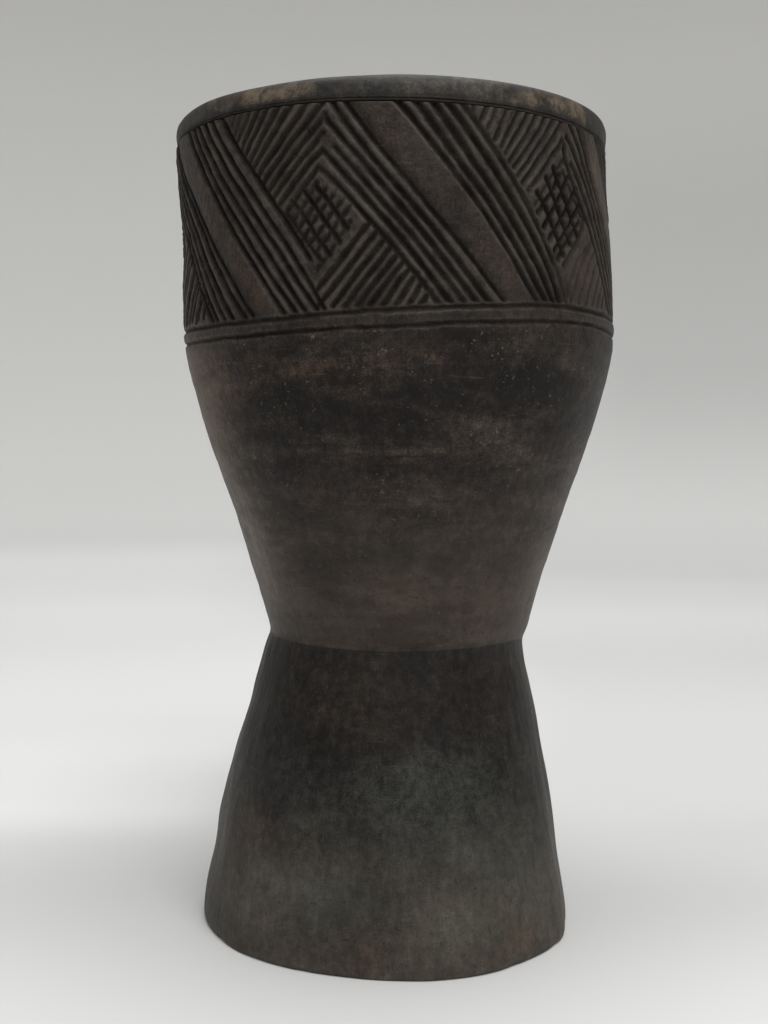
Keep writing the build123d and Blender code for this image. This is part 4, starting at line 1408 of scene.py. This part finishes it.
# ---------------------------------------------------------------------- stage
# From here on lengths are in metres.
def sweep_material():
    g = Graph("pale_sweep")
    x, y, z = g.axes()
    soft = g.noise(scale=3.0, detail=2)
    floor = g.span(z, 0.001, 0.02, low=1.0, high=0.0)
    # pale sweep, brightest low on the curve and darker up the wall: painted falloff of light
    color = g.ramp(g.linear(z, 0.02, 1.5), [
        (0.0, (0.745, 0.743, 0.735)), (0.06, (0.775, 0.773, 0.762)),
        (0.35, (0.70, 0.697, 0.683)), (1.0, (0.60, 0.597, 0.58))])
    # painted shadow, painted light and a faint mottle on the sweep, laid in turn: (share, colour)
    # painted shadow of the drum on the floor round it
    painted_drum_shadow = g.bell(y - 0.030, tightness=8.5) * g.bell(x, tightness=1.6) * floor
    # painted light on the floor behind the drum, at the far left and at the back left
    painted_light_behind = g.span(y, 0.18, 0.55) * floor
    painted_light_far_left = g.span(x, -0.05, -0.40) * g.span(y, 0.9, 1.4) * g.span(z, 0.075, 0.03)
    painted_light_back_left = (g.span(x, -0.08, -0.16) * g.span(x, -0.42, -0.25)
                 * g.span(y, 0.11, 0.20) * g.span(y, 0.50, 0.34))
    # painted shade on the right of the floor and of the wall
    painted_shade_floor_right = g.span(x, 0.02, 0.20) * g.span(y, 0.04, 0.16) * g.span(y, 1.3, 0.8) * floor
    painted_shade_wall_right = g.span(x, 0.20, 0.65) * g.span(z, 0.10, 0.45) * g.span(z, 1.35, 0.8)
    for share, area_color in (
            (painted_drum_shadow * 0.56, (0.40, 0.40, 0.40)),
            (painted_light_behind * 0.55, (0.83, 0.83, 0.82)),
            (soft * 0.04, (0.5, 0.5, 0.5)),
            (painted_light_far_left * 0.60, (0.93, 0.93, 0.925)),
            (painted_light_back_left * 0.50, (0.90, 0.90, 0.895)),
            (painted_shade_floor_right * 0.29, (0.40, 0.40, 0.40)),
            (painted_shade_wall_right * 0.34, (0.38, 0.38, 0.378))):
        color = g.mix(share, color, area_color)
    return g.finish(color, rough=0.8, specular=0.2)


def build_stage():
    """A round pale sweep: floor, a wide curve and a wall that leans out."""
    floor_r, bend, n = 1.6, 1.3, 128
    rows = [(r, 0.0) for r in (0.2, 0.45, 0.8, 1.2, floor_r)]
    for degrees in range(6, 85, 6):
        a = math.radians(degrees)
        rows.append((floor_r + bend * math.sin(a), bend * (1 - math.cos(a))))
    rows.append((rows[-1][0] + 0.12, rows[-1][1] + 1.6))
    points = []
    for r, z in rows:
        for i in range(n):
            a = 2 * math.pi * i / n
            points.append((r * math.cos(a), r * math.sin(a), z))
    points.append((0, 0, 0))
    faces = [(len(points) - 1, i, (i + 1) % n) for i in range(n)]
    for k in range(len(rows) - 1):
        for i in range(n):
            a, b = k * n + i, k * n + (i + 1) % n
            faces.append((a, a + n, b + n, b))
    mesh = bpy.data.meshes.new("sweep")
    mesh.from_pydata(points, [], faces)
    for face in mesh.polygons:
        face.use_smooth = True
    sweep = bpy.data.objects.new("sweep", mesh)
    scene.collection.objects.link(sweep)
    mesh.materials.append(sweep_material())


def add_area_light(name, place, target, size, power, color):
    light = bpy.data.lights.new(name, "AREA")
    light.shape = "DISK"
    light.size = size
    light.energy = power
    light.color = color
    lamp = bpy.data.objects.new(name, light)
    lamp.location = place
    lamp.rotation_mode = "QUATERNION"
    lamp.rotation_quaternion = (Vector(target) - Vector(place)).to_track_quat("-Z", "Y")
    scene.collection.objects.link(lamp)


def add_world():
    world = bpy.data.worlds.new("studio")
    scene.world = world
    world.use_nodes = True
    background = world.node_tree.nodes["Background"]
    background.inputs["Color"].default_value = (1.0, 1.0, 1.0, 1)
    background.inputs["Strength"].default_value = 0.35


def add_camera():
    """In front of the drum, tipped slightly down."""
    data = bpy.data.cameras.new("camera")
    camera = bpy.data.objects.new("camera", data)
    scene.collection.objects.link(camera)
    data.sensor_width = 36.0
    data.lens = 45.84
    data.clip_start = 0.01
    data.clip_end = 30
    camera.location = (-5.85 * MM, -687.07 * MM, 244.05 * MM)
    camera.rotation_euler = (math.radians(90 - 2.644), 0, 0)
    scene.camera = camera


build_stage()
add_area_light("overhead", place=(0.10, 0.45, 2.4), target=(0, 0.2, 0.1), size=2.0, power=28,
               color=(1.0, 1.0, 1.0))
add_area_light("front_key", place=(0.45, -1.35, 1.9), target=(0, 0, 0.1), size=1.6, power=36,
               color=(1.0, 1.0, 0.995))
add_world()
scene.view_settings.view_transform = "Standard"
scene.view_settings.look = "None"
add_camera()

bpy.context.view_layer.update()
